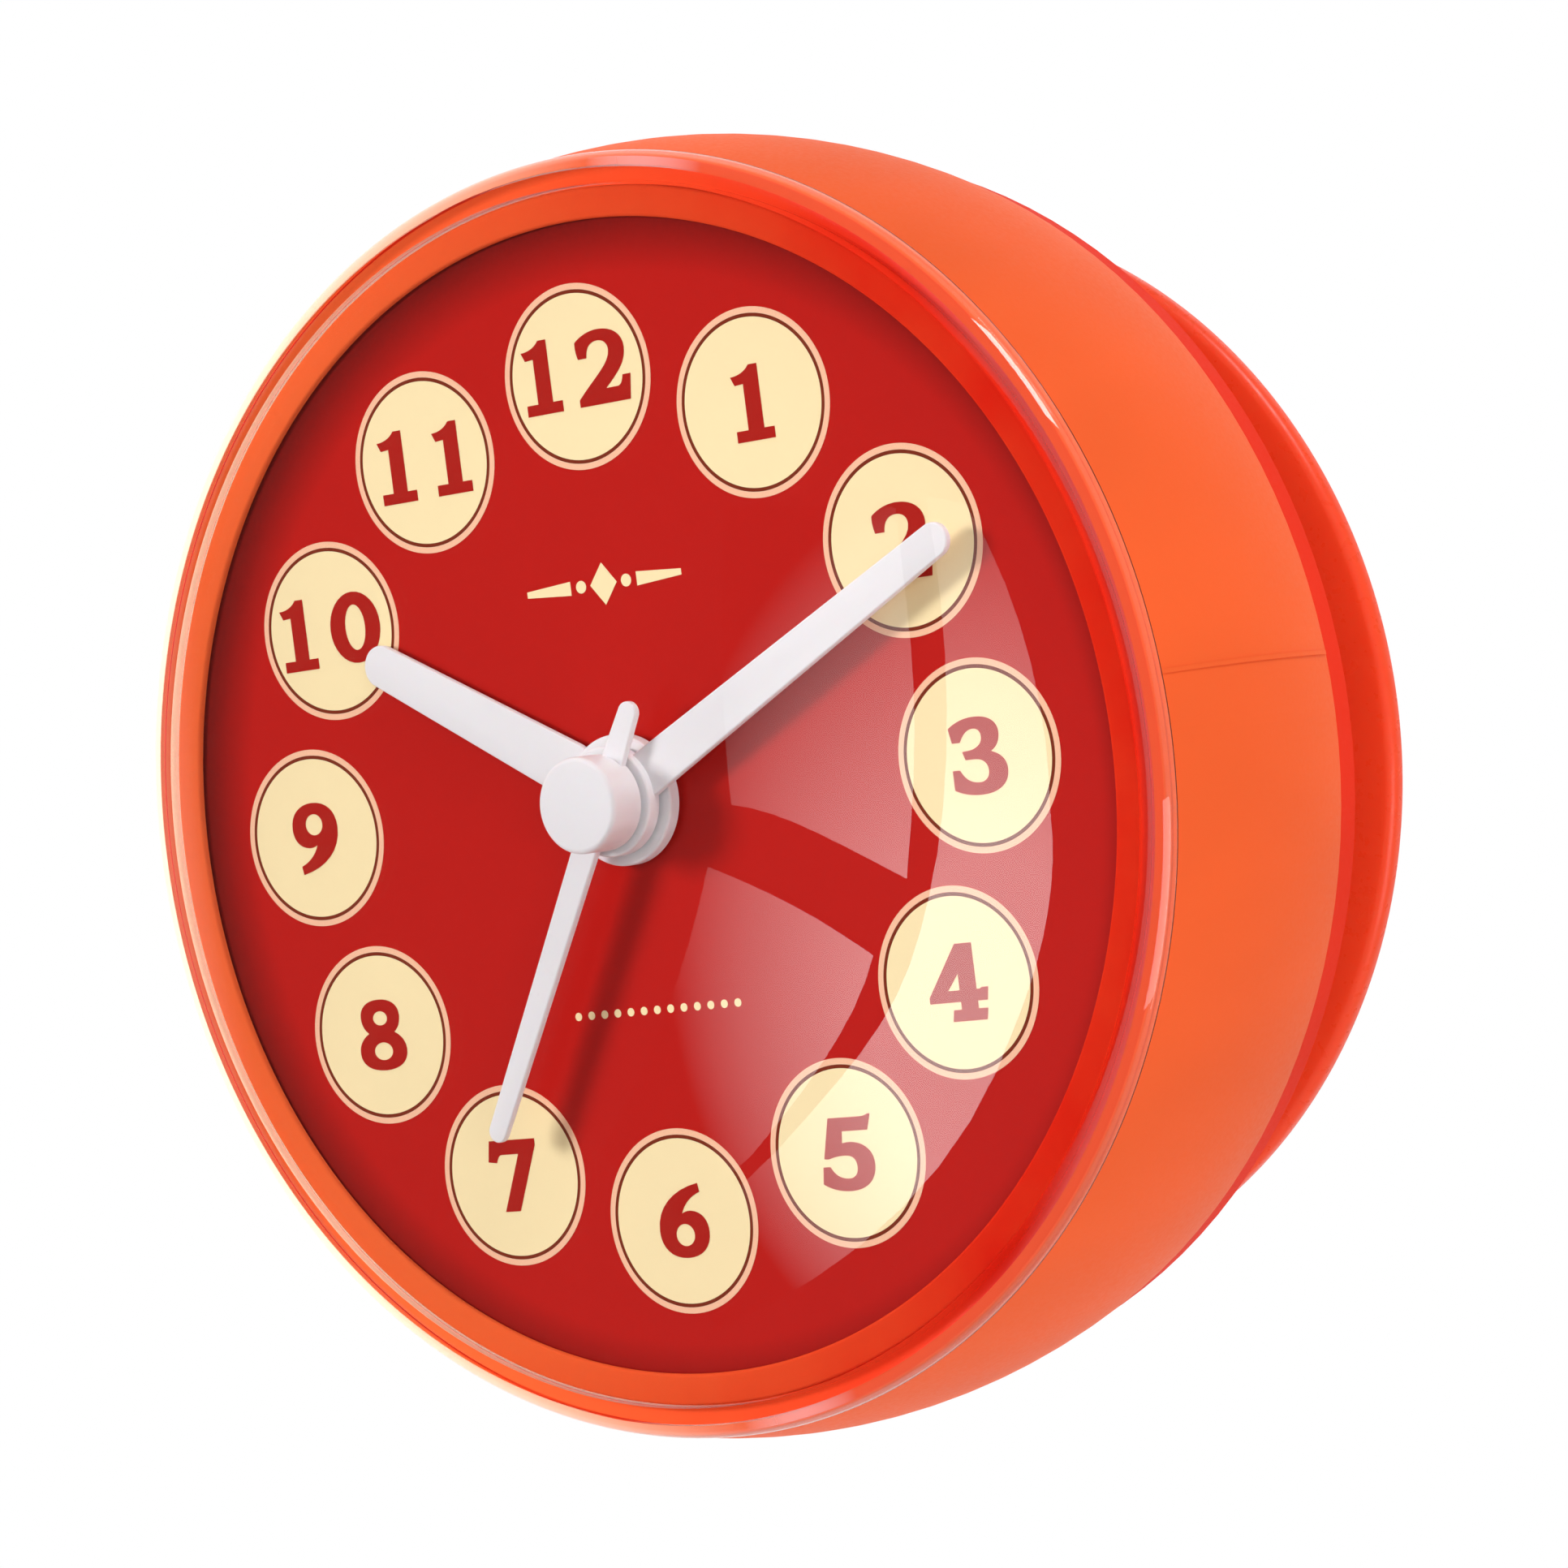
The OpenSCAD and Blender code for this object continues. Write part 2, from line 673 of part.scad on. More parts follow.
module movement_tray() color(movement_black) facing() {
    difference() {
        union() {
            translate([0, 0, z_movement_back]) linear_extrude(movement_t) tray_outline();
            disc(bush_r, z_movement - tray_wall, z_bush);
            for (side = [-1, 1]) screw_lug(side);
        }
        gear_room();
        translate([-bay_len / 2, -battery_drop - bay_w / 2, z_movement_back - past])
            cube([bay_len, bay_w, movement_t - bay_floor + past]);
        plate_room();
        disc(bush_bore_r, z_tray_in - past, z_bush + past);
        for (p = [third_at, intermediate_at]) at(p)
            disc(arbor_r + run_gap, z_tray_in - past, z_tray_in + pivot_depth);
        at(rotor_at) disc(rotor_pivot_r + run_gap, z_tray_in - past, z_tray_in + pivot_depth);
        at(setting_at) disc(setting_shaft_r + run_gap, z_tray_in - past, z_tray_in + pivot_depth);
        for (side = [-1, 1]) translate([side * screw_x, 0, 0])
            disc(screw_r + fit_gap, z_screw_lug - past, z_boss + past);
    }
    at(motion_at) disc(arbor_r, layer_back(1) - layer_gap / 2, z_tray_in + tray_wall / 2);
    for (p = board_posts) at(p) {
        disc(post_r, z_board, z_tray_in + tray_wall / 2);
        disc(pin_r, z_board - board_t, z_board + sink);
    }
    for (x = stator_posts) at([x, core_y]) {
        disc(stator_post_r, z_stator + stator_t, z_tray_in + tray_wall / 2);
        disc(stator_post_r / 2, z_stator, z_stator + stator_t + sink);
    }
}

// Hollow of the tray that holds the wheels, from the divider to the far wall
module gear_room() {
    corner = max(movement_round - tray_wall, 0.5);
    translate([0, (gear_low + gear_high) / 2, z_movement_back - past])
        linear_extrude(z_tray_in - z_movement_back + past)
            polygon(rounded(bay_len, gear_high - gear_low, corner));
}

// Step at the back of the tray that takes the movement plate
module plate_room()
    translate([-movement_w, divider_y + tray_wall / 2 - fit_gap, z_movement_back - past])
        cube([2 * movement_w, 2 * movement_w, plate_t + past]);

module screw_lug(side) {
    translate([side * screw_x, 0, 0]) disc(screw_boss_r, z_screw_lug, z_boss);
    translate([side > 0 ? movement_half - past : -screw_x, -screw_boss_r, z_screw_lug])
        cube([lug_reach + past, 2 * screw_boss_r, screw_lug_t]);
}

module movement_plate() color(movement_black) facing()
    difference() {
        intersection() {
            translate([0, 0, z_movement_back]) linear_extrude(plate_t) tray_outline();
            translate([-movement_w, divider_y + tray_wall / 2, z_movement_back - past])
                cube([2 * movement_w, 2 * movement_w, plate_t + 2 * past]);
        }
        for (p = [third_at, intermediate_at]) at(p)
            disc(arbor_r + run_gap, z_plate_in - pivot_depth, z_plate_in + past);
        at(rotor_at) disc(rotor_pivot_r + run_gap, z_plate_in - pivot_depth, z_plate_in + past);
        disc(second_arbor_r + run_gap, z_plate_in - pivot_depth, z_plate_in + past);
        at(setting_at) disc(setting_shaft_r + run_gap, z_movement_back - past, z_plate_in + past);
    }

module movement_screws() color(steel_grey) facing()
    for (side = [-1, 1]) translate([side * screw_x, 0, 0])
        difference() {
            union() {
                disc(screw_r, z_screw_lug - screw_head_t / 2, screw_tip);
                disc(screw_head_r, z_screw_lug - screw_head_t, z_screw_lug);
            }
            translate([-screw_head_r, -screw_slot_w / 2, z_screw_lug - screw_head_t - past])
                cube([2 * screw_head_r, screw_slot_w, past + screw_head_t / 2]);
        }

module bush_washer() color(movement_black) facing()
    ring(washer_r, bush_hole_r, z_movement, z_web);

// Motor and circuit

module stator() color(steel_grey) facing()
    translate([0, 0, z_stator]) linear_extrude(stator_t) difference() {
        union() {
            translate([stator_left, core_y - core_w / 2])
                square([stator_right - stator_left, core_w]);
            for (x = [stator_left, stator_right - 2 * core_w])
                translate([x, rotor_at[1] - core_w / 2])
                    square([2 * core_w, core_y - rotor_at[1] + core_w]);
            translate([stator_left, rotor_at[1] - core_w / 2])
                square([rotor_at[0] - stator_left, core_w]);
            translate(rotor_at) circle(pole_r);
        }
        translate(rotor_at) circle(magnet_r + turn_gap);
        for (x = stator_posts) translate([x, core_y]) circle(stator_post_r / 2 + fit_gap);
    }

module coil_bobbin() color(gear_white) facing()
    difference() {
        translate([bobbin_x - bobbin_len / 2, core_y, coil_z]) rotate([0, 90, 0]) {
            cylinder(r = coil_r - winding_t, h = bobbin_len);
            for (x = [0, bobbin_len - bobbin_flange]) translate([0, 0, x])
                cylinder(r = coil_r, h = bobbin_flange);
        }
        translate([bobbin_x - bobbin_len, core_y - core_w / 2 - fit_gap, z_stator - fit_gap])
            cube([2 * bobbin_len, core_w + 2 * fit_gap, stator_t + 2 * fit_gap]);
    }

module coil() color(copper_red) facing()
    translate([bobbin_x - bobbin_len / 2, core_y, coil_z]) rotate([0, 90, 0])
        ring(coil_r - fit_gap, coil_r - winding_t + press_gap, bobbin_flange + press_gap,
             bobbin_len - bobbin_flange - press_gap);

module rotor_magnet() color(steel_grey) facing()
    at(rotor_at) ring(magnet_r, rotor_hub_r + press_gap, magnet_back, magnet_front);

module rotor_pinion() color(gear_white) facing()
    at(rotor_at) {
        phase = mesh_phase(intermediate_teeth, 0, rotor_teeth, rotor_dir);
        gear(rotor_teeth, rotor_module, phase, layer_back(5), layer_front(5));
        disc(rotor_hub_r, magnet_back, layer_back(5) + sink);
        disc(rotor_pivot_r, pivot_back, pivot_front);
    }

module circuit_board() color([0.15, 0.35, 0.20]) facing()
    difference() {
        translate([board_x, board_y, z_board - board_t]) cube([board_w, board_h, board_t]);
        for (p = board_posts) at(p) disc(pin_r + fit_gap, z_board - 2 * board_t, z_board + past);
    }

// Blob of resin over the chip, a low dome on the back of the board
module clock_chip() color(movement_black) facing() {
    blob_r = 2.6;
    blob_h = 1;
    ball = dome_r(blob_r, blob_h);
    inset = blob_r + 0.9;
    translate([board_x + board_w - inset, board_y + inset, z_board - board_t]) intersection() {
        translate([0, 0, ball - blob_h]) sphere(r = ball);
        translate([-blob_r, -blob_r, -ball]) cube([2 * blob_r, 2 * blob_r, ball]);
    }
}

module quartz_crystal() color(steel_grey) facing() {
    can_r = 1;
    can_len = 6;
    side = 3;
    translate([board_x + side, board_y + board_h - can_len - side, z_board - board_t - can_r])
        rotate([-90, 0, 0]) cylinder(r = can_r, h = can_len);
}

// Wheels

module arbor() disc(arbor_r, pivot_back, pivot_front);

module intermediate_wheel() color(gear_white) facing()
    at(intermediate_at) {
        phase = mesh_phase(second_teeth, 0, intermediate_pinion_teeth, intermediate_dir);
        gear(intermediate_teeth, rotor_module, 0, layer_back(5), layer_front(5));
        gear(intermediate_pinion_teeth, second_module, phase, layer_front(5) - sink, layer_front(4));
        arbor();
    }

module second_wheel() color(gear_white) facing()
    difference() {
        union() {
            gear(second_teeth, second_module, 0, layer_back(4), layer_front(4));
            gear(second_pinion_teeth, third_module, 0, layer_front(4) - sink, layer_front(3));
        }
        disc(second_arbor_r + press_gap, layer_back(4) - past, layer_front(3) + past);
    }

module second_arbor() color(steel_grey) facing()
    disc(second_arbor_r, pivot_back, z_arbor_top - fit_gap);

module third_wheel() color(gear_white) facing()
    at(third_at) {
        phase = mesh_phase(second_pinion_teeth, 0, third_teeth, third_dir);
        gear(third_teeth, third_module, phase, layer_back(3), layer_front(3));
        gear(third_pinion_teeth, centre_module, 0, layer_front(3) - sink, layer_front(2));
        arbor();
    }

module centre_wheel() color(gear_white) facing()
    difference() {
        phase = mesh_phase(third_pinion_teeth, 0, centre_teeth, third_dir + 180);
        gear(centre_teeth, centre_module, phase, layer_back(2), layer_front(2));
        disc(cannon_r + run_gap, layer_back(2) - past, layer_front(2) + past);
    }

module clutch_spring() color(steel_grey) facing()
    ring(2 * cannon_r, cannon_r + press_gap, layer_front(2) + layer_gap / 4,
         layer_back(1) - layer_gap / 4);

module cannon_pinion() color(gear_white) facing()
    difference() {
        union() {
            gear(cannon_teeth, motion_module, 0, layer_back(1), layer_front(1));
            disc(cannon_r, layer_back(2) - layer_gap / 4, z_minute_top);
        }
        disc(cannon_bore_r, layer_back(2) - past, z_minute_top + past);
    }

module motion_wheel() color(gear_white) facing()
    at(motion_at) difference() {
        union() {
            gear(motion_teeth, motion_module, motion_phase, layer_back(1), layer_front(1));
            gear(motion_pinion_teeth, hour_module, 0, layer_front(1) - sink, layer_front(0));
        }
        disc(arbor_r + run_gap, layer_back(1) - past, layer_front(0) + past);
    }

module hour_wheel() color(gear_white) facing()
    difference() {
        phase = mesh_phase(motion_pinion_teeth, 0, hour_teeth, motion_dir + 180);
        union() {
            gear(hour_teeth, hour_module, phase, layer_back(0), layer_front(0));
            disc(hour_r, layer_back(0), z_hour_top);
        }
        disc(hour_bore_r, layer_back(0) - past, z_hour_top + past);
    }

module setting_pinion() color(gear_white) facing()
    at(setting_at) {
        phase = mesh_phase(motion_teeth, motion_phase, setting_teeth, setting_dir);
        gear(setting_teeth, motion_module, phase, layer_back(1), layer_front(1));
        disc(setting_shaft_r, z_knob - knob_h / 2, pivot_front);
    }

module setting_knob() color(movement_black) facing()
    at(setting_at) difference() {
        flutes = 20;
        flute = 0.25;
        steps = 6 * flutes;
        translate([0, 0, z_knob - knob_h]) linear_extrude(knob_h) polygon([
            for (i = [0:steps - 1]) polar(knob_r - flute + flute * cos(360 * i / 6), 360 * i / steps)
        ]);
        disc(setting_shaft_r + press_gap, z_knob - knob_h / 2, z_knob + past);
    }

// Cell and contacts

module battery() color([0.16, 0.35, 0.62]) facing() {
    nub_r = 2.75;
    nub_h = 1;
    edge = 0.6;
    body_len = battery_len - nub_h;
    translate([-battery_len / 2, -battery_drop, z_cell]) rotate([0, 90, 0])
        rotate_extrude() polygon([
            [0, 0], [battery_r - edge, 0], [battery_r, edge], [battery_r, body_len - edge],
            [battery_r - edge, body_len], [nub_r, body_len], [nub_r, battery_len], [0, battery_len]
        ]);
}

// Contact strip against an end wall of the bay, with a bowed spring that meets the cell
module contact_strip(side) {
    strip_w = 9;
    bow_w = 8;
    rise = contact_bow - fit_gap / 2;
    bow_r = dome_r(bow_w / 2, rise);
    half = asin(bow_w / 2 / bow_r);
    bow_c = [contact_t + rise - bow_r, 0];
    wall_x = bay_len / 2;
    translate([side * wall_x, -battery_drop, z_cell - strip_w / 2]) mirror([side > 0 ? 1 : 0, 0, 0])
        linear_extrude(strip_w) difference() {
            polygon(concat(
                [[0, bay_w / 2 - fit_gap], [0, fit_gap - bay_w / 2], [contact_t, fit_gap - bay_w / 2]],
                arc(bow_c, bow_r, -half, half, 12), [[contact_t, bay_w / 2 - fit_gap]]
            ));
            polygon(arc([bow_c[0] - contact_t, 0], bow_r, -half * 0.8, half * 0.8, 12));
        }
}

module positive_contact() color(steel_grey) facing() contact_strip(1);

module negative_contact() color(steel_grey) facing() contact_strip(-1);

case_shell();
lens();
lens_seal();
dial();
hour_hand();
minute_hand();
second_hand();
rear_cover();
cover_seal();
suction_cup();
movement_tray();
movement_plate();
movement_screws();
bush_washer();
stator();
coil_bobbin();
coil();
rotor_magnet();
rotor_pinion();
circuit_board();
clock_chip();
quartz_crystal();
intermediate_wheel();
second_wheel();
second_arbor();
third_wheel();
centre_wheel();
clutch_spring();
cannon_pinion();
motion_wheel();
hour_wheel();
setting_pinion();
setting_knob();
battery();
positive_contact();
negative_contact();
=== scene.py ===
"""Shower clock on a suction cup: finishes, dial print, hands and soft pieces on the CAD frame."""

import logging
import math
from collections.abc import Iterable, Sequence
from dataclasses import dataclass
from enum import Enum
from typing import Any

import bmesh
import bpy
from mathutils import Matrix, Vector


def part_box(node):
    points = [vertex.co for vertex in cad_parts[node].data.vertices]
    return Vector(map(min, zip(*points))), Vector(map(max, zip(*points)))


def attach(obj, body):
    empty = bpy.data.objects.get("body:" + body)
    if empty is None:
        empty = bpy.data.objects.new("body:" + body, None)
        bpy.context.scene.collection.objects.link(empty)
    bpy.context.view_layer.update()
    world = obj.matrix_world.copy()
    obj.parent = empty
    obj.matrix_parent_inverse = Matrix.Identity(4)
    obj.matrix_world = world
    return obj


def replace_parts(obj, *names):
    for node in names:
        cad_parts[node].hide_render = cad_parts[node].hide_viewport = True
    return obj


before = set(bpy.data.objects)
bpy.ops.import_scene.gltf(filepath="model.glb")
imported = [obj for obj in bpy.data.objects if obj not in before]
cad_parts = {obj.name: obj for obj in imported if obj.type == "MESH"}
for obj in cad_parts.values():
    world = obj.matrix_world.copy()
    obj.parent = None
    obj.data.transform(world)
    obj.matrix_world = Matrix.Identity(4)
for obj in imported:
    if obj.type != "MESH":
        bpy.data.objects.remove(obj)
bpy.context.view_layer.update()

LOG = logging.getLogger("shower_clock")

Point = tuple[float, float]
Triple = tuple[float, float, float]
Colour = Triple
Shape = bmesh.types.BMesh
Piece = bpy.types.Object

MM = 0.001
ORIGIN: Triple = (0.0, 0.0, 0.0)
EVEN: Triple = (1.0, 1.0, 1.0)
WHITE: Colour = (1.0, 1.0, 1.0)
# Pieces are drawn in millimetres with z towards the viewer and y towards twelve o'clock.
FACING = Matrix.Scale(MM, 4) @ Matrix.Rotation(math.radians(90.0), 4, "X")
# Steps of large and small turned solids, and of their arcs and rounded corners.
FINE_STEPS, SMALL_STEPS, ARC_STEPS, ROUND_STEPS = 288, 96, 28, 4
# Steps round a cord, along a drawn curve, round a blade's tip and over its edges.
CORD_STEPS, CURVE_STEPS, TIP_STEPS, EDGE_STEPS = 16, 8, 10, 3
# Distances that are welded: in millimetres, and as a share of a plate's thickness.
WELD, PLATE_WELD = 0.0005, 0.05
CREASE = math.radians(32.0)
FULL_TURN = 360.0
HOUR_DEGREES = 30.0
OVAL_HANDLE = 0.5523
# How many numbers follow each letter of an outline.
NUMBERS_AFTER = {"M": 2, "L": 2, "C": 6}
# Where a noise is at its low and its high end, and the Mix node's colour sockets.
NOISE_ENDS: Point = (0.3, 0.7)
MIX_FIRST, MIX_SECOND, MIX_RESULT = 6, 7, 2
# The curve between a screen's values and light.
SCREEN_FULL, SCREEN_KNEE, SCREEN_SLOPE = 255.0, 0.04045, 12.92
SCREEN_LIFT, SCREEN_POWER = 0.055, 2.4


def tint(red: int, green: int, blue: int) -> Colour:
    """Turns a screen colour of 0 to 255 into the linear light that a shader takes.

    Args:
        red: Its red part.
        green: Its green part.
        blue: Its blue part.

    Returns:
        The colour in linear light.
    """
    light = []
    for part in (red, green, blue):
        share = part / SCREEN_FULL
        curved = ((share + SCREEN_LIFT) / (1.0 + SCREEN_LIFT)) ** SCREEN_POWER
        light.append(share / SCREEN_SLOPE if share <= SCREEN_KNEE else curved)
    return tuple(light)


def shade(colour: Colour, factor: float) -> Colour:
    """Makes a colour darker or lighter by a factor."""
    return tuple(min(1.0, part * factor) for part in colour)


def grey(level: float) -> Colour:
    """Gives the grey of a level of light."""
    return level, level, level


def around(clock_degrees: float, radius: float) -> Point:
    """Gives the place on the dial at a clock direction and a radius."""
    angle = math.radians(clock_degrees)
    return radius * math.sin(angle), radius * math.cos(angle)


class Body(Enum):
    """The CAD bodies that the scene's own pieces ride on."""

    CASE = "case"
    HOURS = "hours"
    MINUTES = "minutes"
    SECONDS = "seconds"
    WALL_MOUNT = "wall_mount"


class Slot(Enum):
    """The record's material slot names for the scene's own pieces; the script does not use them."""

    CASE = "case_plastic"
    DIAL = "dial_print"
    HAND = "hand_white"
    LENS = "lens_plastic"
    LENS_SEAL = "lens_seal"
    COVER_SEAL = "seal_rubber"
    CUP = "cup_soft"


class Soften(Enum):
    """What a rounding takes off."""

    CORNERS = "VERTICES"
    EDGES = "EDGES"


# ---------------------------------------------------------------- finishes


class Nodes:
    """Builds the node tree of one material or of the world."""

    def __init__(self, owner: bpy.types.Material | bpy.types.World, output: str) -> None:
        """Empties the owner's tree and gives it one output node.

        Args:
            owner: The material or world whose tree is filled.
            output: The kind of output node it ends in.
        """
        owner.use_nodes = True
        self.tree = owner.node_tree
        self.tree.nodes.clear()
        self.output = self.tree.nodes.new(output)

    def end(self, surface: Any) -> None:
        """Joins a shader to the output."""
        self.tree.links.new(surface, self.output.inputs["Surface"])

    def add(self, kind: str, inputs: dict[int | str, Any] | None = None, **settings: Any) -> Any:
        """Adds a node, sets it up and joins its inputs.

        Args:
            kind: The node's type, without its common beginning.
            inputs: A value or a socket for each input, by name or by number.
            settings: Properties of the node.

        Returns:
            The new node.
        """
        node = self.tree.nodes.new("ShaderNode" + kind)
        for name, value in settings.items():
            setattr(node, name, value)
        for key, value in (inputs or {}).items():
            if isinstance(value, bpy.types.NodeSocket):
                self.tree.links.new(value, node.inputs[key])
            else:
                node.inputs[key].default_value = value
        return node

    def math(self, operation: str, *values: Any) -> Any:
        """Adds a Math node and returns its result socket."""
        return self.add("Math", dict(enumerate(values)), operation=operation).outputs[0]

    def place(self, stretch: Triple = EVEN) -> Any:
        """Returns Object coordinates in metres, stretched along the axes."""
        where = self.add("TexCoord").outputs["Object"]
        return self.add("Mapping", {"Vector": where, "Scale": stretch}).outputs["Vector"]

    def axes(self) -> Any:
        """Returns the sockets of the three Object coordinates in metres."""
        return self.add("SeparateXYZ", {0: self.place()}).outputs

    def radius(self, second: int = 2, shift_mm: Point = (0.0, 0.0)) -> Any:
        """Adds the distance from an axis, across x and a second axis.

        Args:
            second: Number of the second axis.
            shift_mm: Where that axis lies, in millimetres along the two.

        Returns:
            The socket of the distance in metres.
        """
        axes = self.axes()
        squares = []
        for number, shift in zip((0, second), shift_mm):
            away = self.math("SUBTRACT", axes[number], shift * MM)
            squares.append(self.math("MULTIPLY", away, away))
        return self.math("SQRT", self.math("ADD", *squares))

    def speckle(self, size_mm: float, detail: float = 2.0, stretch: Triple = EVEN) -> Any:
        """Returns a noise of 0 to 1 whose marks are about a size in millimetres."""
        inputs = {"Vector": self.place(stretch), "Scale": 1.0 / (size_mm * MM), "Detail": detail}
        return self.add("TexNoise", inputs).outputs["Fac"]

    def spread(self, value: Any, low: float, high: float, ends: Point = NOISE_ENDS) -> Any:
        """Maps a value between two ends to a low and a high result, held there."""
        inputs = dict(enumerate((value, *ends, low, high)))
        return self.add("MapRange", inputs, clamp=True).outputs[0]

    def spread_mm(self, value: Any, low: float, high: float, ends_mm: Point) -> Any:
        """Maps a distance between two ends in millimetres to a low and a high result."""
        return self.spread(value, low, high, (ends_mm[0] * MM, ends_mm[1] * MM))

    def blend(self, factor: Any, first: Any, second: Any) -> Any:
        """Mixes two colours, each a colour or a socket.

        Args:
            factor: How much of the second there is, as a value or a socket.
            first: The first colour.
            second: The second colour.

        Returns:
            The socket of the mixed colour.
        """
        inputs: dict[int | str, Any] = {0: factor}
        for key, tone in ((MIX_FIRST, first), (MIX_SECOND, second)):
            inputs[key] = tone if isinstance(tone, bpy.types.NodeSocket) else (*tone, 1.0)
        return self.add("Mix", inputs, data_type="RGBA").outputs[MIX_RESULT]

    def mixed(self, factor: Any, first: Any, second: Any) -> Any:
        """Mixes two shader sockets and returns the result socket."""
        return self.add("MixShader", {0: factor, 1: first, 2: second}).outputs[0]

    def bump(self, height: Any, depth_mm: float, strength: float) -> Any:
        """Returns a normal bumped by a height of a depth in millimetres."""
        inputs = {"Height": height, "Distance": depth_mm * MM, "Strength": strength}
        return self.add("Bump", inputs).outputs["Normal"]


@dataclass(frozen=True)
class Marks:
    """Soft marks of another tone in a finish.

    Attributes:
        size_mm: About how large they are.
        share: How much of the other tone the strongest have.
        factor: How much lighter or darker the other tone is than the colour it is made from.
        detail: How ragged they are.
        stretch: How they are drawn out along the axes, longer where it is less.
    """

    size_mm: float
    share: float
    factor: float = 1.0
    detail: float = 2.0
    stretch: Triple = EVEN

    def over(self, nodes: Nodes, tone: Any, colour: Colour) -> Any:
        """Lays the marks, toned from a colour, over a tone and returns the result socket."""
        marks = nodes.speckle(self.size_mm, self.detail, self.stretch)
        return nodes.blend(nodes.spread(marks, 0.0, self.share), tone, shade(colour, self.factor))


@dataclass(frozen=True)
class Grain:
    """A fine grain that bumps a surface and makes it more or less matt.

    Attributes:
        size_mm: Size of the grain.
        depth_mm: Its depth.
        strength: How strongly it bends the surface.
        matt: How much it changes the roughness at its low and its high end.
        stretch: How it is drawn out along the axes, longer where it is less.
    """

    size_mm: float
    depth_mm: float
    strength: float
    matt: Point
    stretch: Triple = EVEN

    def inputs(self, nodes: Nodes, roughness: float) -> dict[str, Any]:
        """Adds the grain's nodes.

        Args:
            nodes: The tree that takes them.
            roughness: How matt the surface is without the grain.

        Returns:
            The shader inputs that the grain sets.
        """
        grain = nodes.speckle(self.size_mm, stretch=self.stretch)
        low, high = (roughness + change for change in self.matt)
        return {
            "Roughness": nodes.spread(grain, low, high),
            "Normal": nodes.bump(grain, self.depth_mm, self.strength),
        }


@dataclass(frozen=True)
class Finish:
    """A named procedural finish.

    Attributes:
        name: The material's name.
        colour: Its main colour in linear light.
        roughness: How matt it is.
        gloss: How much of the usual shine it has, where 0.5 is plain plastic.
    """

    name: str
    colour: Colour
    roughness: float = 0.35
    gloss: float = 0.5

    def material(self) -> bpy.types.Material:
        """Gives the finish as a material, made once.

        Returns:
            The material.
        """
        made = bpy.data.materials.get(self.name)
        if made is None:
            made = bpy.data.materials.new(self.name)
            nodes = Nodes(made, "ShaderNodeOutputMaterial")
            nodes.end(self.surface(nodes))
        return made

    def surface(self, nodes: Nodes) -> Any:
        """Adds the finish's shader and returns its socket."""
        inputs = {"Specular IOR Level": self.gloss, **self.inputs(nodes)}
        return nodes.add("BsdfPrincipled", inputs).outputs["BSDF"]

    def inputs(self, nodes: Nodes) -> dict[str, Any]:
        """Adds the nodes that lead to the finish's shader and returns the inputs they set."""
        raise NotImplementedError


@dataclass(frozen=True)
class MouldedPlastic(Finish):
    """Injection-moulded plastic with faint flow marks and a fine moulded grain.

    Attributes:
        flow: How much lighter and darker the flow marks are.
        grain_mm: Size of the moulded grain.
        glow: How much light scatters below the surface.
        glow_mm: How far that light goes.
    """

    flow: float = 0.05
    grain_mm: float = 0.35
    glow: float = 0.0
    glow_mm: float = 1.0

    def inputs(self, nodes: Nodes) -> dict[str, Any]:
        """Adds the nodes of the plastic's colour and grain.

        Args:
            nodes: The tree that takes them.

        Returns:
            The shader inputs that they set.
        """
        marks = Marks(size_mm=14.0, share=1.0, stretch=(1.0, 0.45, 1.0))
        dark, light = (shade(self.colour, 1.0 + change) for change in (-self.flow, self.flow))
        grain = Grain(self.grain_mm, depth_mm=0.002, strength=0.3, matt=(-0.05, 0.05))
        return {
            "Base Color": marks.over(nodes, dark, light),
            **grain.inputs(nodes, self.roughness),
            "Subsurface Weight": self.glow,
            "Subsurface Radius": (1.0, 0.3, 0.15),
            "Subsurface Scale": self.glow_mm * MM,
        }


@dataclass(frozen=True)
class SeatedPlastic(MouldedPlastic):
    """Moulded plastic with a painted highlight: a pale glow on one side of the lens's ledge and
    lip.

    Attributes:
        seat: Colour of the painted highlight, standing in for light that the lens's wall gathers.
        seat_radius_mm: Radius that the painted highlight lies inside.
        seat_depth_mm: Depth that it lies in front of.
        lip_depth_mm: Depth in front of which the whole lip gets the painted highlight too.
        seat_across_mm: Places from side to side where the painted highlight is full and ends.
        seat_light: How strongly the painted highlight glows, though no lamp is there.
    """

    seat: Colour = WHITE
    seat_radius_mm: float = 44.5
    seat_depth_mm: float = 36.6
    lip_depth_mm: float = 38.0
    seat_across_mm: Point = (-32.0, 4.0)
    seat_light: float = 0.5

    def inputs(self, nodes: Nodes) -> dict[str, Any]:
        """Adds the nodes of the plastic and of its painted highlight.

        Args:
            nodes: The tree that takes them.

        Returns:
            The shader inputs that they set.
        """
        plain = super().inputs(nodes)
        side, depth, _ = nodes.axes()
        inside = nodes.math("LESS_THAN", nodes.radius(), self.seat_radius_mm * MM)
        front, lip = (
            nodes.math("LESS_THAN", depth, -edge * MM)
            for edge in (self.seat_depth_mm, self.lip_depth_mm)
        )
        where = nodes.math("MAXIMUM", nodes.math("MULTIPLY", inside, front), lip)
        across = nodes.spread_mm(side, 1.0, 0.0, self.seat_across_mm)
        # Painted highlight: pale on the lens's ledge and lip, full on the left and fading out to
        # the right.
        pale = nodes.math("MULTIPLY", where, across)
        return {
            **plain,
            "Base Color": nodes.blend(pale, plain["Base Color"], self.seat),
            # The painted highlight also glows, though no lamp is there.
            "Emission Color": (*self.seat, 1.0),
            "Emission Strength": nodes.math("MULTIPLY", pale, self.seat_light),
        }


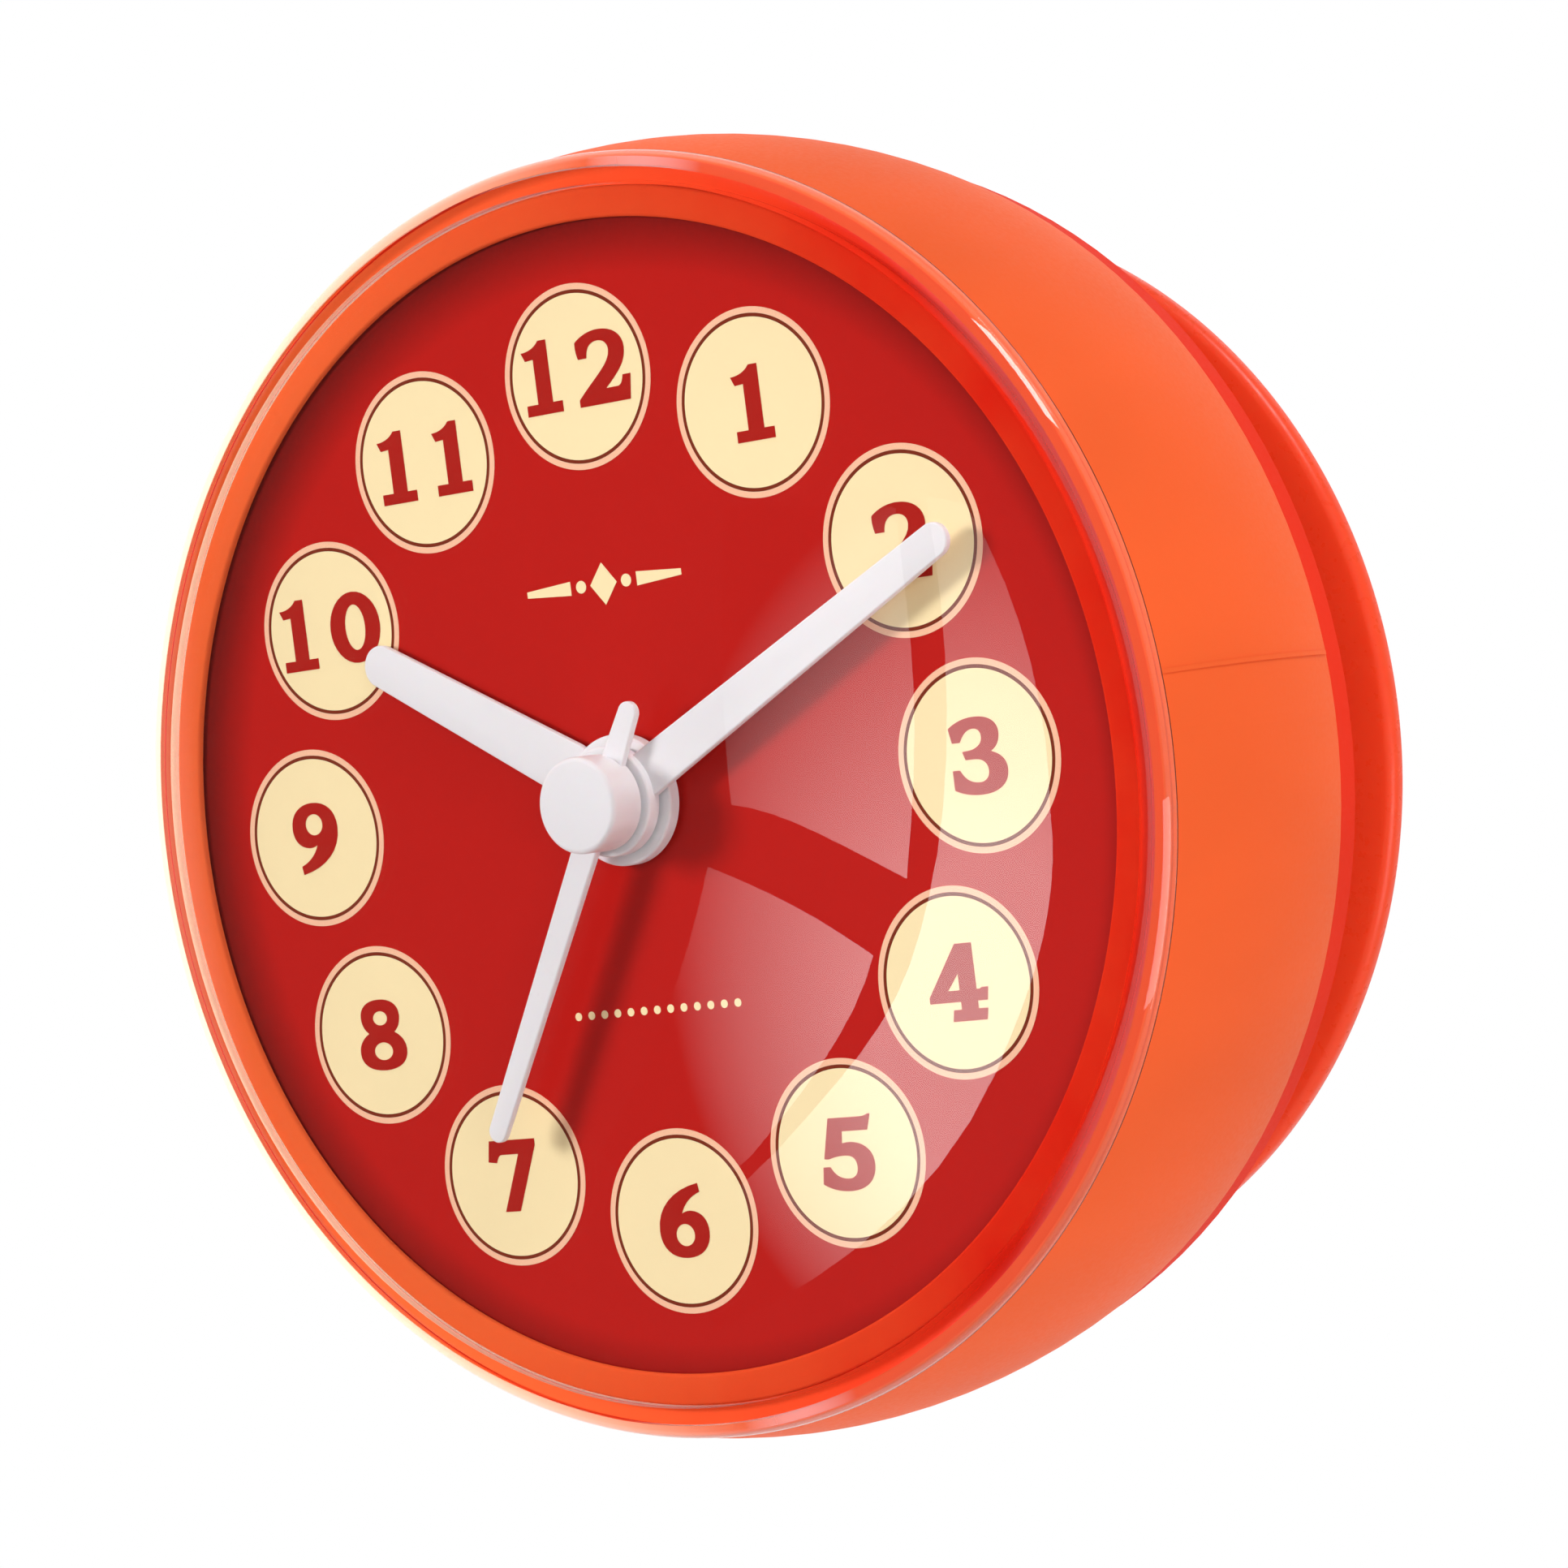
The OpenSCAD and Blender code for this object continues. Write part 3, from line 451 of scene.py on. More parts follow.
@dataclass(frozen=True)
class SoftVinyl(Finish):
    """Translucent soft vinyl with a faint cloud in it, and painted light: a lighter tone and a
    glow.

    Attributes:
        rim: Lighter tone painted as light, towards the thin outer edge, or towards one side with
            across.
        rim_mm: Radii, or places across, where the painted light tone begins and is full.
        across: Whether the painted light tone changes from side to side instead, between these
            places.
        passing: How much light passes through.
        passing_mm: How far it goes.
        index: Refractive index.
        foot_mm: Radius outside which it has a painted glow, standing in for light from the clear
            part on it.
        foot_light: How strongly the painted glow shines, though no lamp is there.
    """

    roughness: float = 0.3
    gloss: float = 0.25
    rim: Colour = WHITE
    rim_mm: Point = (34.0, 41.0)
    across: bool = False
    passing: float = 0.5
    passing_mm: float = 3.0
    index: float = 1.52
    foot_mm: float = 0.0
    foot_light: float = 0.0

    def inputs(self, nodes: Nodes) -> dict[str, Any]:
        """Adds the nodes of the vinyl's colours and skin.

        Args:
            nodes: The tree that takes them.

        Returns:
            The shader inputs that they set.
        """
        cloud = Marks(size_mm=6.0, share=0.12, factor=1.1, detail=3.0)
        skin = Grain(size_mm=0.8, depth_mm=0.003, strength=0.2, matt=(-0.05, 0.07))
        out = nodes.axes()[0] if self.across else nodes.radius()
        # Painted light and shade: lighter towards the thin edge, or towards one side with across.
        tone = nodes.blend(nodes.spread_mm(out, 0.0, 1.0, self.rim_mm), self.colour, self.rim)
        inputs = {
            "Base Color": cloud.over(nodes, tone, self.rim),
            **skin.inputs(nodes, self.roughness),
            "Subsurface Weight": self.passing,
            "Subsurface Radius": (1.0, 0.25, 0.12),
            "Subsurface Scale": self.passing_mm * MM,
            "IOR": self.index,
        }
        # Painted glow: past a radius the vinyl gives off light of its own tone.
        if self.foot_light > 0.0:
            foot = nodes.math("GREATER_THAN", nodes.radius(), self.foot_mm * MM)
            inputs["Emission Color"] = tone
            inputs["Emission Strength"] = nodes.math("MULTIPLY", foot, self.foot_light)
        return inputs


@dataclass(frozen=True)
class ClearPlastic(Finish):
    """Clear moulded lens plastic, with the slight waviness that bends reflections, and a painted
    edge.

    Attributes:
        index: Refractive index.
        wave_mm: Size of the waves.
        shadow: How much light it lets through to what lies in its shadow.
        weld: Opaque colour painted on one side of the lens's edge, standing in for the case seen
            through it.
        weld_radii_mm: Radii between which the painted edge lies.
        weld_depth_mm: Depth that it lies behind.
        weld_across_mm: Places from side to side where it begins to show and shows fully.
    """

    roughness: float = 0.0
    index: float = 1.49
    wave_mm: float = 22.0
    shadow: float = 0.97
    weld: Colour = WHITE
    weld_radii_mm: Point = (44.25, 45.0)
    weld_depth_mm: float = 38.5
    weld_across_mm: Point = (4.0, 14.0)

    def welded(self, nodes: Nodes) -> Any:
        """Adds the nodes that tell how far a place on the lens takes the painted edge.

        Args:
            nodes: The tree that takes them.

        Returns:
            The socket of that share.
        """
        side, depth, _ = nodes.axes()
        inner, outer = (edge * MM for edge in self.weld_radii_mm)
        ring = nodes.math("COMPARE", nodes.radius(), (inner + outer) / 2.0, (outer - inner) / 2.0)
        behind = nodes.math("GREATER_THAN", depth, -self.weld_depth_mm * MM)
        across = nodes.spread_mm(side, 0.0, 1.0, self.weld_across_mm)
        return nodes.math("MULTIPLY", nodes.math("MULTIPLY", ring, behind), across)

    def inputs(self, nodes: Nodes) -> dict[str, Any]:
        """Adds the nodes of the clear plastic, its waves and its weld.

        Args:
            nodes: The tree that takes them.

        Returns:
            The shader inputs that they set.
        """
        # Painted edge: opaque case colour on the right of the lens's edge, in place of what shows
        # through it.
        weld = self.welded(nodes)
        wave = nodes.speckle(self.wave_mm, detail=1.0)
        return {
            "Base Color": nodes.blend(weld, self.colour, self.weld),
            "Roughness": self.roughness,
            "IOR": self.index,
            "Transmission Weight": nodes.math("SUBTRACT", 1.0, weld),
            "Normal": nodes.bump(wave, depth_mm=0.03, strength=0.15),
        }

    def surface(self, nodes: Nodes) -> Any:
        """Adds the clear shader and the plain one that lets lamplight through.

        Args:
            nodes: The tree that takes them.

        Returns:
            The socket of both together.
        """
        passing = nodes.add("BsdfTransparent", {"Color": (*shade(self.colour, self.shadow), 1.0)})
        shadow = nodes.add("LightPath").outputs["Is Shadow Ray"]
        return nodes.mixed(shadow, super().surface(nodes), passing.outputs[0])


@dataclass(frozen=True)
class PrintedFace(Finish):
    """Screen-printed ink on a smooth sheet, with a fine stipple, and a painted shadow at the edge.

    Attributes:
        edge: Colour of the painted shadow at the outer edge.
        edge_mm: Radii where the painted shadow begins and where it is full, or zeros for none.
        edge_shift_mm: Place that these radii are taken from, which moves the painted shadow to one
            side.
        stipple_mm: Size of the stipple.
    """

    roughness: float = 0.42
    gloss: float = 0.08
    edge: Colour = WHITE
    edge_mm: Point = (0.0, 0.0)
    edge_shift_mm: Point = (0.0, 0.0)
    stipple_mm: float = 0.18

    def inputs(self, nodes: Nodes) -> dict[str, Any]:
        """Adds the nodes of the print's tones and stipple.

        Args:
            nodes: The tree that takes them.

        Returns:
            The shader inputs that they set.
        """
        cloud = Marks(size_mm=9.0, share=0.10, factor=0.8)
        dots = Marks(self.stipple_mm, share=0.08, factor=1.25)
        stipple = Grain(self.stipple_mm, depth_mm=0.002, strength=0.4, matt=(-0.04, 0.04))
        tone: Any = self.colour
        # Painted shadow: the tone darkens towards the edge, more on the side away from the shift.
        if self.edge_mm[1] > 0.0:
            out = nodes.radius(shift_mm=self.edge_shift_mm)
            tone = nodes.blend(nodes.spread_mm(out, 0.0, 1.0, self.edge_mm), tone, self.edge)
        clouded = cloud.over(nodes, tone, self.colour)
        return {
            "Base Color": dots.over(nodes, clouded, self.colour),
            **stipple.inputs(nodes, self.roughness),
        }


@dataclass(frozen=True)
class BareMetal(Finish):
    """Rolled or drawn metal with fine lines along one axis.

    Attributes:
        stretch: How the lines are drawn out along the axes.
    """

    roughness: float = 0.28
    stretch: Triple = (0.06, 1.0, 1.0)

    def inputs(self, nodes: Nodes) -> dict[str, Any]:
        """Adds the nodes of the metal's stains and lines.

        Args:
            nodes: The tree that takes them.

        Returns:
            The shader inputs that they set.
        """
        stain = Marks(size_mm=3.0, share=0.35, factor=0.7, detail=3.0)
        lines = Grain(0.2, depth_mm=0.004, strength=0.4, matt=(-0.08, 0.1), stretch=self.stretch)
        return {
            "Base Color": stain.over(nodes, self.colour, self.colour),
            **lines.inputs(nodes, self.roughness),
            "Metallic": 1.0,
        }


@dataclass(frozen=True)
class Banded(Finish):
    """A smooth printed or wound surface with bands along one axis.

    Attributes:
        second: Colour of the other bands.
        pitch_mm: Distance from band to band.
        share: How much of the pitch the second colour takes, from 0 to 1.
        blur: How much of the pitch the change of colour takes.
        metallic: How metallic the surface is.
        matt: How much its roughness changes from place to place.
    """

    second: Colour = WHITE
    pitch_mm: float = 1.0
    share: float = 0.5
    blur: float = 0.04
    metallic: float = 0.0
    matt: float = 0.06

    def inputs(self, nodes: Nodes) -> dict[str, Any]:
        """Adds the nodes of the bands.

        Args:
            nodes: The tree that takes them.

        Returns:
            The shader inputs that they set.
        """
        turns = nodes.math("MULTIPLY", nodes.axes()[0], 1.0 / (self.pitch_mm * MM))
        edge = 1.0 - self.share
        band = nodes.spread(nodes.math("FRACT", turns), 0.0, 1.0, (edge, edge + self.blur))
        low, high = self.roughness - self.matt, self.roughness + self.matt
        return {
            "Base Color": nodes.blend(band, self.colour, self.second),
            "Metallic": self.metallic,
            "Roughness": nodes.spread(nodes.speckle(size_mm=0.5), low, high),
            "Normal": nodes.bump(band, depth_mm=0.02, strength=0.4),
        }


@dataclass(frozen=True)
class FadingFloor(Finish):
    """Matt floor that fades out towards its edge.

    Attributes:
        fade_mm: Radii where it begins to fade and where it is gone.
    """

    roughness: float = 0.8
    fade_mm: Point = (180.0, 392.0)

    def inputs(self, nodes: Nodes) -> dict[str, Any]:
        """Returns the inputs of the floor's matt shader."""
        return {"Base Color": (*self.colour, 1.0), "Roughness": self.roughness}

    def surface(self, nodes: Nodes) -> Any:
        """Adds the matt shader and the clear one that it fades to, and returns their socket."""
        fade = nodes.spread_mm(nodes.radius(second=1), 0.0, 1.0, self.fade_mm)
        return nodes.mixed(fade, super().surface(nodes), nodes.add("BsdfTransparent").outputs[0])


@dataclass(frozen=True)
class WindowLight(Finish):
    """Daylight in a window, which fades out from its brightest place.

    Attributes:
        glow: Brightness there.
        brightest: That place, in metres.
        slant: Turn of the long way of the fade, in degrees.
        narrow: How far the fade reaches along the axes.
        fade: Distances where it begins and where it ends, in metres.
    """

    glow: float = 5.9
    brightest: Triple = (-0.076, -0.646, -0.224)
    slant: float = 14.5
    narrow: Triple = (0.69, 1.0, 1.0)
    fade: Point = (0.15, 0.454)

    def surface(self, nodes: Nodes) -> Any:
        """Adds the light's nodes.

        Args:
            nodes: The tree that takes them.

        Returns:
            The socket of the light.
        """
        inputs = {
            "Vector": nodes.add("TexCoord").outputs["Object"],
            "Location": self.brightest,
            "Rotation": (0.0, math.radians(self.slant), 0.0),
            "Scale": self.narrow,
        }
        away = nodes.add("Mapping", inputs, vector_type="TEXTURE").outputs["Vector"]
        length = nodes.add("VectorMath", {0: away}, operation="LENGTH").outputs["Value"]
        strength = nodes.spread(length, self.glow, 0.0, self.fade)
        light = nodes.add("Emission", {"Color": (*self.colour, 1.0), "Strength": strength})
        return light.outputs[0]


# Orange case plastic, with a painted highlight: pale and glowing on the left of the lens's ledge
# and lip.
CASE_ORANGE = SeatedPlastic(
    "case_orange_plastic_painted_highlight", tint(240, 96, 45), roughness=0.5, glow=0.12, gloss=0.08,
    seat=tint(255, 222, 190),
)
COVER_RED = MouldedPlastic(
    "cover_red_plastic", tint(228, 48, 24), roughness=0.5, glow=0.1, gloss=0.06
)
# The cup's red, with painted light and shade: darker near the case, lighter towards the thin edge.
CUP_VINYL = SoftVinyl("cup_red_vinyl_painted_light", tint(226, 44, 22), rim=tint(240, 76, 38))
# The seal's deep red, with painted light: orange on the left side, deep red in shade on the right,
# and a painted glow outside the lens's foot.
SEAL_RED = SoftVinyl(
    "lens_seal_red_painted_light", tint(220, 36, 18), rim=tint(248, 104, 54), rim_mm=(26.0, -24.0), across=True,
    roughness=0.2, passing=0.15, gloss=0.0, foot_mm=43.03, foot_light=0.45,
)
SEAL_BLACK = MouldedPlastic("cover_seal_rubber", tint(34, 33, 33), roughness=0.6, grain_mm=0.2)
# Clear lens plastic, with opaque orange painted on its edge on the right, standing in for the case
# seen through it.
LENS_CLEAR = ClearPlastic("lens_clear_plastic_painted_edge", grey(0.995), weld=tint(236, 80, 38))
# The dial's red, with a painted shadow along its edge, darkest at the upper left, as if the lip
# cast it.
DIAL_RED = PrintedFace(
    "dial_red_print_painted_shadow", tint(187, 24, 18), edge=tint(108, 13, 9), edge_mm=(37.8, 41.9),
    edge_shift_mm=(1.6, -0.95),
)
DISC_CREAM = PrintedFace("disc_cream_print", tint(253, 232, 182), roughness=0.5)
RING_CREAM = PrintedFace("ring_cream_print", tint(250, 196, 162), roughness=0.5)
LINE_BROWN = PrintedFace("line_brown_print", tint(122, 44, 24), roughness=0.5)
NUMERAL_RED = PrintedFace("numeral_red_print", tint(172, 28, 20), roughness=0.5)
HAND_WHITE = MouldedPlastic(
    "hand_white_plastic", tint(232, 230, 233), roughness=0.32, flow=0.012, grain_mm=0.25, glow=0.1,
    glow_mm=0.4,
)
MOVEMENT_BLACK = MouldedPlastic("movement_black_plastic", tint(38, 38, 40), roughness=0.45)
GEAR_WHITE = MouldedPlastic(
    "gear_white_acetal", tint(226, 222, 210), roughness=0.38, flow=0.02, glow=0.2, glow_mm=0.6
)
STEEL = BareMetal("rolled_steel", tint(196, 196, 200))
MAGNET = BareMetal("sintered_magnet", tint(120, 118, 116), roughness=0.5, stretch=EVEN)
COPPER = Banded(
    "wound_copper", tint(196, 96, 52), second=tint(120, 50, 26), pitch_mm=0.18, share=0.3,
    metallic=1.0, roughness=0.32,
)
BOARD_GREEN = Banded(
    "board_green_mask", tint(26, 84, 48), second=tint(44, 112, 62), pitch_mm=2.2, share=0.4,
    roughness=0.4,
)
CELL_JACKET = Banded(
    "cell_blue_jacket", tint(40, 88, 156), second=tint(206, 208, 212), pitch_mm=26.0, share=0.12,
    roughness=0.25,
)
FLOOR_PALE = FadingFloor("studio_floor_pale", grey(0.86))
WINDOW_GLOW = WindowLight("studio_window_glow", WHITE)

NODE_FINISHES: tuple[tuple[Finish, tuple[str, ...]], ...] = (
    (CASE_ORANGE, ("case_shell",)),
    (DIAL_RED, ("dial",)),
    (COVER_RED, ("rear_cover",)),
    (SEAL_BLACK, ("bush_washer",)),
    (MOVEMENT_BLACK, ("movement_tray", "movement_plate", "clock_chip", "setting_knob")),
    (STEEL, (
        "movement_screws", "stator", "quartz_crystal", "positive_contact", "negative_contact",
        "second_arbor", "clutch_spring",
    )),
    (MAGNET, ("rotor_magnet",)),
    (COPPER, ("coil",)),
    (BOARD_GREEN, ("circuit_board",)),
    (CELL_JACKET, ("battery",)),
    (GEAR_WHITE, (
        "coil_bobbin", "rotor_pinion", "intermediate_wheel", "second_wheel", "third_wheel",
        "centre_wheel", "cannon_pinion", "motion_wheel", "hour_wheel", "setting_pinion",
    )),
)


# ---------------------------------------------------------------- shaping


def moved(bm: Shape, x: float, y: float, z: float = 0.0) -> Shape:
    """Slides a shape across the dial and off it."""
    bmesh.ops.translate(bm, verts=bm.verts, vec=(x, y, z))
    return bm


def swung(bm: Shape, degrees: float, middle: Triple = ORIGIN) -> Shape:
    """Turns a shape clockwise on the dial.

    Args:
        bm: The shape.
        degrees: Angle of the turn.
        middle: The place that it turns about.

    Returns:
        The shape itself.
    """
    turn = Matrix.Rotation(math.radians(-degrees), 3, "Z")
    bmesh.ops.rotate(bm, verts=bm.verts, cent=middle, matrix=turn)
    return bm


def rounded(bm: Shape, geom: list[Any], offset: float, steps: int, what: Soften) -> None:
    """Rounds corners or edges of a shape by an offset, in a number of steps."""
    bmesh.ops.bevel(
        bm, geom=geom, offset=offset, segments=steps, profile=0.5, affect=what.value, material=-1
    )


def placed(name: str, data: bpy.types.ID) -> Piece:
    """Makes an object and puts it in the scene.

    Args:
        name: The object's name.
        data: Its mesh, curve, lamp or camera.

    Returns:
        The object.
    """
    thing = bpy.data.objects.new(name, data)
    bpy.context.scene.collection.objects.link(thing)
    return thing


def solid(name: str, bm: Shape, finish: Finish | None = None) -> Piece:
    """Makes an object of a shape.

    Args:
        name: The object's name.
        bm: The shape, which is freed.
        finish: Its finish, if it has one.

    Returns:
        The object, in the scene.
    """
    mesh = bpy.data.meshes.new(name)
    bm.to_mesh(mesh)
    bm.free()
    if finish is not None:
        mesh.materials.append(finish.material())
    return placed(name, mesh)


def settled(thing: Piece) -> Shape:
    """Takes an object's final shape, with its modifiers or curves worked out.

    Args:
        thing: The object, which stays.

    Returns:
        Its shape.
    """
    bpy.context.view_layer.update()
    graph = bpy.context.evaluated_depsgraph_get()
    mesh = bpy.data.meshes.new_from_object(thing.evaluated_get(graph))
    bm = bmesh.new()
    bm.from_mesh(mesh)
    bpy.data.meshes.remove(mesh)
    return bm


def gathered(parts: Iterable[Shape]) -> Shape:
    """Gathers several shapes into one.

    Args:
        parts: The shapes, which are freed.

    Returns:
        All of them in one.
    """
    whole = bmesh.new()
    for part in parts:
        holder = bpy.data.meshes.new("part")
        part.to_mesh(holder)
        part.free()
        whole.from_mesh(holder)
        bpy.data.meshes.remove(holder)
    return whole


def united(name: str, parts: Sequence[Shape]) -> Shape:
    """Joins overlapping closed solids into one clean solid.

    Args:
        name: A name for the working objects.
        parts: The solids, which are freed.

    Returns:
        Their union.
    """
    objects = [solid(f"{name}_{number}", part) for number, part in enumerate(parts)]
    for tool in objects[1:]:
        join = objects[0].modifiers.new("join", "BOOLEAN")
        join.operation, join.solver, join.object = "UNION", "EXACT", tool
    bm = settled(objects[0])
    for mesh in [used.data for used in objects]:
        bpy.data.meshes.remove(mesh)
    return bm


def finished(
    name: str, bm: Shape, finish: Finish, body: Body, height: float = 0.0
) -> Piece:
    """Turns a shape in dial millimetres into a piece of the clock.

    Args:
        name: The piece's name.
        bm: Its shape, which is freed.
        finish: Its finish.
        body: The CAD body that it rides on.
        height: How far the shape is lifted towards the viewer.

    Returns:
        The new object, at the origin, with its place in its mesh.
    """
    moved(bm, 0.0, 0.0, height)
    bmesh.ops.transform(bm, matrix=FACING, verts=bm.verts)
    piece = solid(name, bm, finish)
    piece.data.shade_smooth()
    piece.data.set_sharp_from_angle(angle=CREASE)
    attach(piece, body.value)
    return piece


class Outline:
    """An outline of radius and depth that is spun into a turned solid."""

    def __init__(self, radius: float, depth: float) -> None:
        """Starts the outline at a point.

        Args:
            radius: Distance of the point from the axis, in millimetres.
            depth: Its distance from the wall, in millimetres.
        """
        self.bm = bmesh.new()
        self.order = [self.bm.verts.new((radius, 0.0, depth))]
        self.corners: list[tuple[bmesh.types.BMVert, float]] = []

    def to(self, radius: float, depth: float, rounding: float = 0.0) -> "Outline":
        """Goes straight to a point, which may be rounded.

        Args:
            radius: Distance of the point from the axis, in millimetres.
            depth: Its distance from the wall, in millimetres.
            rounding: Length that the rounding takes off each side there.

        Returns:
            The outline itself.
        """
        vert = self.bm.verts.new((radius, 0.0, depth))
        self.order.append(vert)
        if rounding > 0.0:
            self.corners.append((vert, rounding))
        return self

    def sweep(self, centre: Point, degrees: float, steps: int) -> "Outline":
        """Goes round a centre by an angle, counterclockwise with the radius to the right.

        Args:
            centre: Radius and depth of the centre.
            degrees: Angle of the sweep.
            steps: Number of steps along it.

        Returns:
            The outline itself.
        """
        known = set(self.bm.verts)
        bmesh.ops.spin(
            self.bm, geom=[self.order[-1]], cent=(centre[0], 0.0, centre[1]),
            axis=(0.0, -1.0, 0.0), angle=math.radians(degrees), steps=steps, use_merge=False,
        )
        self.order.extend(vert for vert in self.bm.verts if vert not in known)
        return self

    def turned(self, steps: int = FINE_STEPS, span: float = FULL_TURN) -> Shape:
        """Rounds the marked corners and spins the outline about the axis.

        Args:
            steps: Number of steps of the spin.
            span: Angle of the spin in degrees; less than a full turn gets flat ends.

        Returns:
            The turned solid, closed, with its faces pointing outwards.
        """
        bm = self.bm
        bm.faces.new(self.order)
        for vert, rounding in self.corners:
            rounded(bm, [vert], rounding, ROUND_STEPS, Soften.CORNERS)
        full = span >= FULL_TURN
        if full:
            bmesh.ops.delete(bm, geom=bm.faces[:], context="FACES_ONLY")
            axis = [edge for edge in bm.edges if all(abs(v.co.x) < WELD for v in edge.verts)]
            bmesh.ops.delete(bm, geom=axis, context="EDGES")
        bmesh.ops.spin(
            bm, geom=[*bm.verts, *bm.edges, *bm.faces], cent=ORIGIN, axis=(0.0, 0.0, 1.0),
            angle=math.radians(span), steps=steps, use_merge=full,
        )
        bmesh.ops.remove_doubles(bm, verts=bm.verts, dist=WELD)
        if not full:
            bmesh.ops.holes_fill(bm, edges=bm.edges)
        bmesh.ops.recalc_face_normals(bm, faces=bm.faces)
        return bm


def add_loop(curve: bpy.types.Curve, path: str) -> None:
    """Adds one closed outline to a flat curve.

    Args:
        curve: The curve that takes the outline.
        path: The outline as letters and numbers.
    """
    words = path.split()
    knots: list[list[Point]] = []
    while words:
        count = 1 + NUMBERS_AFTER[words[0]]
        numbers = [float(word) for word in words[1:count]]
        points = list(zip(numbers[0::2], numbers[1::2]))
        words = words[count:]
        if len(points) > 1:
            knots[-1][2] = points[0]
        knots.append([points[-2:][0], points[-1], points[-1]])
    if knots[0][1] == knots[-1][1]:
        knots[0][0] = knots[-1][0]
        knots.pop()
    loop = curve.splines.new("BEZIER")
    loop.use_cyclic_u = True
    loop.bezier_points.add(len(knots) - 1)
    for point, (left, knot, right) in zip(loop.bezier_points, knots):
        point.handle_left_type = point.handle_right_type = "FREE"
        point.handle_left, point.co, point.handle_right = (*left, 0.0), (*knot, 0.0), (*right, 0.0)


def flat_shape(paths: Sequence[str], thickness: float) -> Shape:
    """Makes a thin flat plate from closed outlines of lines and curves.

    Args:
        paths: Outlines as letters and numbers: M and L with a point, C with two handles and one.
        thickness: Thickness of the plate, which stands on z = 0.

    Returns:
        The plate, welded, with its faces pointing outwards.
    """
    curve = bpy.data.curves.new("outline", "CURVE")
    curve.dimensions = "2D"
    curve.fill_mode = "BOTH"
    curve.extrude = thickness / 2.0
    curve.resolution_u = CURVE_STEPS
    for path in paths:
        add_loop(curve, path)
    drawn = placed("outline", curve)
    bm = settled(drawn)
    bpy.data.objects.remove(drawn)
    bpy.data.curves.remove(curve)
    bmesh.ops.remove_doubles(bm, verts=bm.verts, dist=thickness * PLATE_WELD)
    bmesh.ops.recalc_face_normals(bm, faces=bm.faces)
    return moved(bm, 0.0, 0.0, thickness / 2.0)


# ---------------------------------------------------------------- the clock


def circle_through(first: Point, second: Point, third: Point) -> tuple[Point, float]:
    """Finds the circle through three points.

    Args:
        first: One point.
        second: The next.
        third: The last.

    Returns:
        The circle's centre and radius.
    """
    (ax, ay), (bx, by), (cx, cy) = first, second, third
    twice = 2.0 * (ax * (by - cy) + bx * (cy - ay) + cx * (ay - by))
    squares = (ax * ax + ay * ay, bx * bx + by * by, cx * cx + cy * cy)
    x = (squares[0] * (by - cy) + squares[1] * (cy - ay) + squares[2] * (ay - by)) / twice
    y = (squares[0] * (cx - bx) + squares[1] * (ax - cx) + squares[2] * (bx - ax)) / twice
    return (x, y), math.hypot(ax - x, ay - y)


def on_circle(centre: Point, reach: float, angle: float) -> Point:
    """Gives the point on a circle at an angle in radians."""
    return centre[0] + reach * math.cos(angle), centre[1] + reach * math.sin(angle)


def dome(radius: float, height: float) -> float:
    """Gives the radius of the sphere whose cap has a radius and a height."""
    return (radius * radius + height * height) / (2.0 * height)


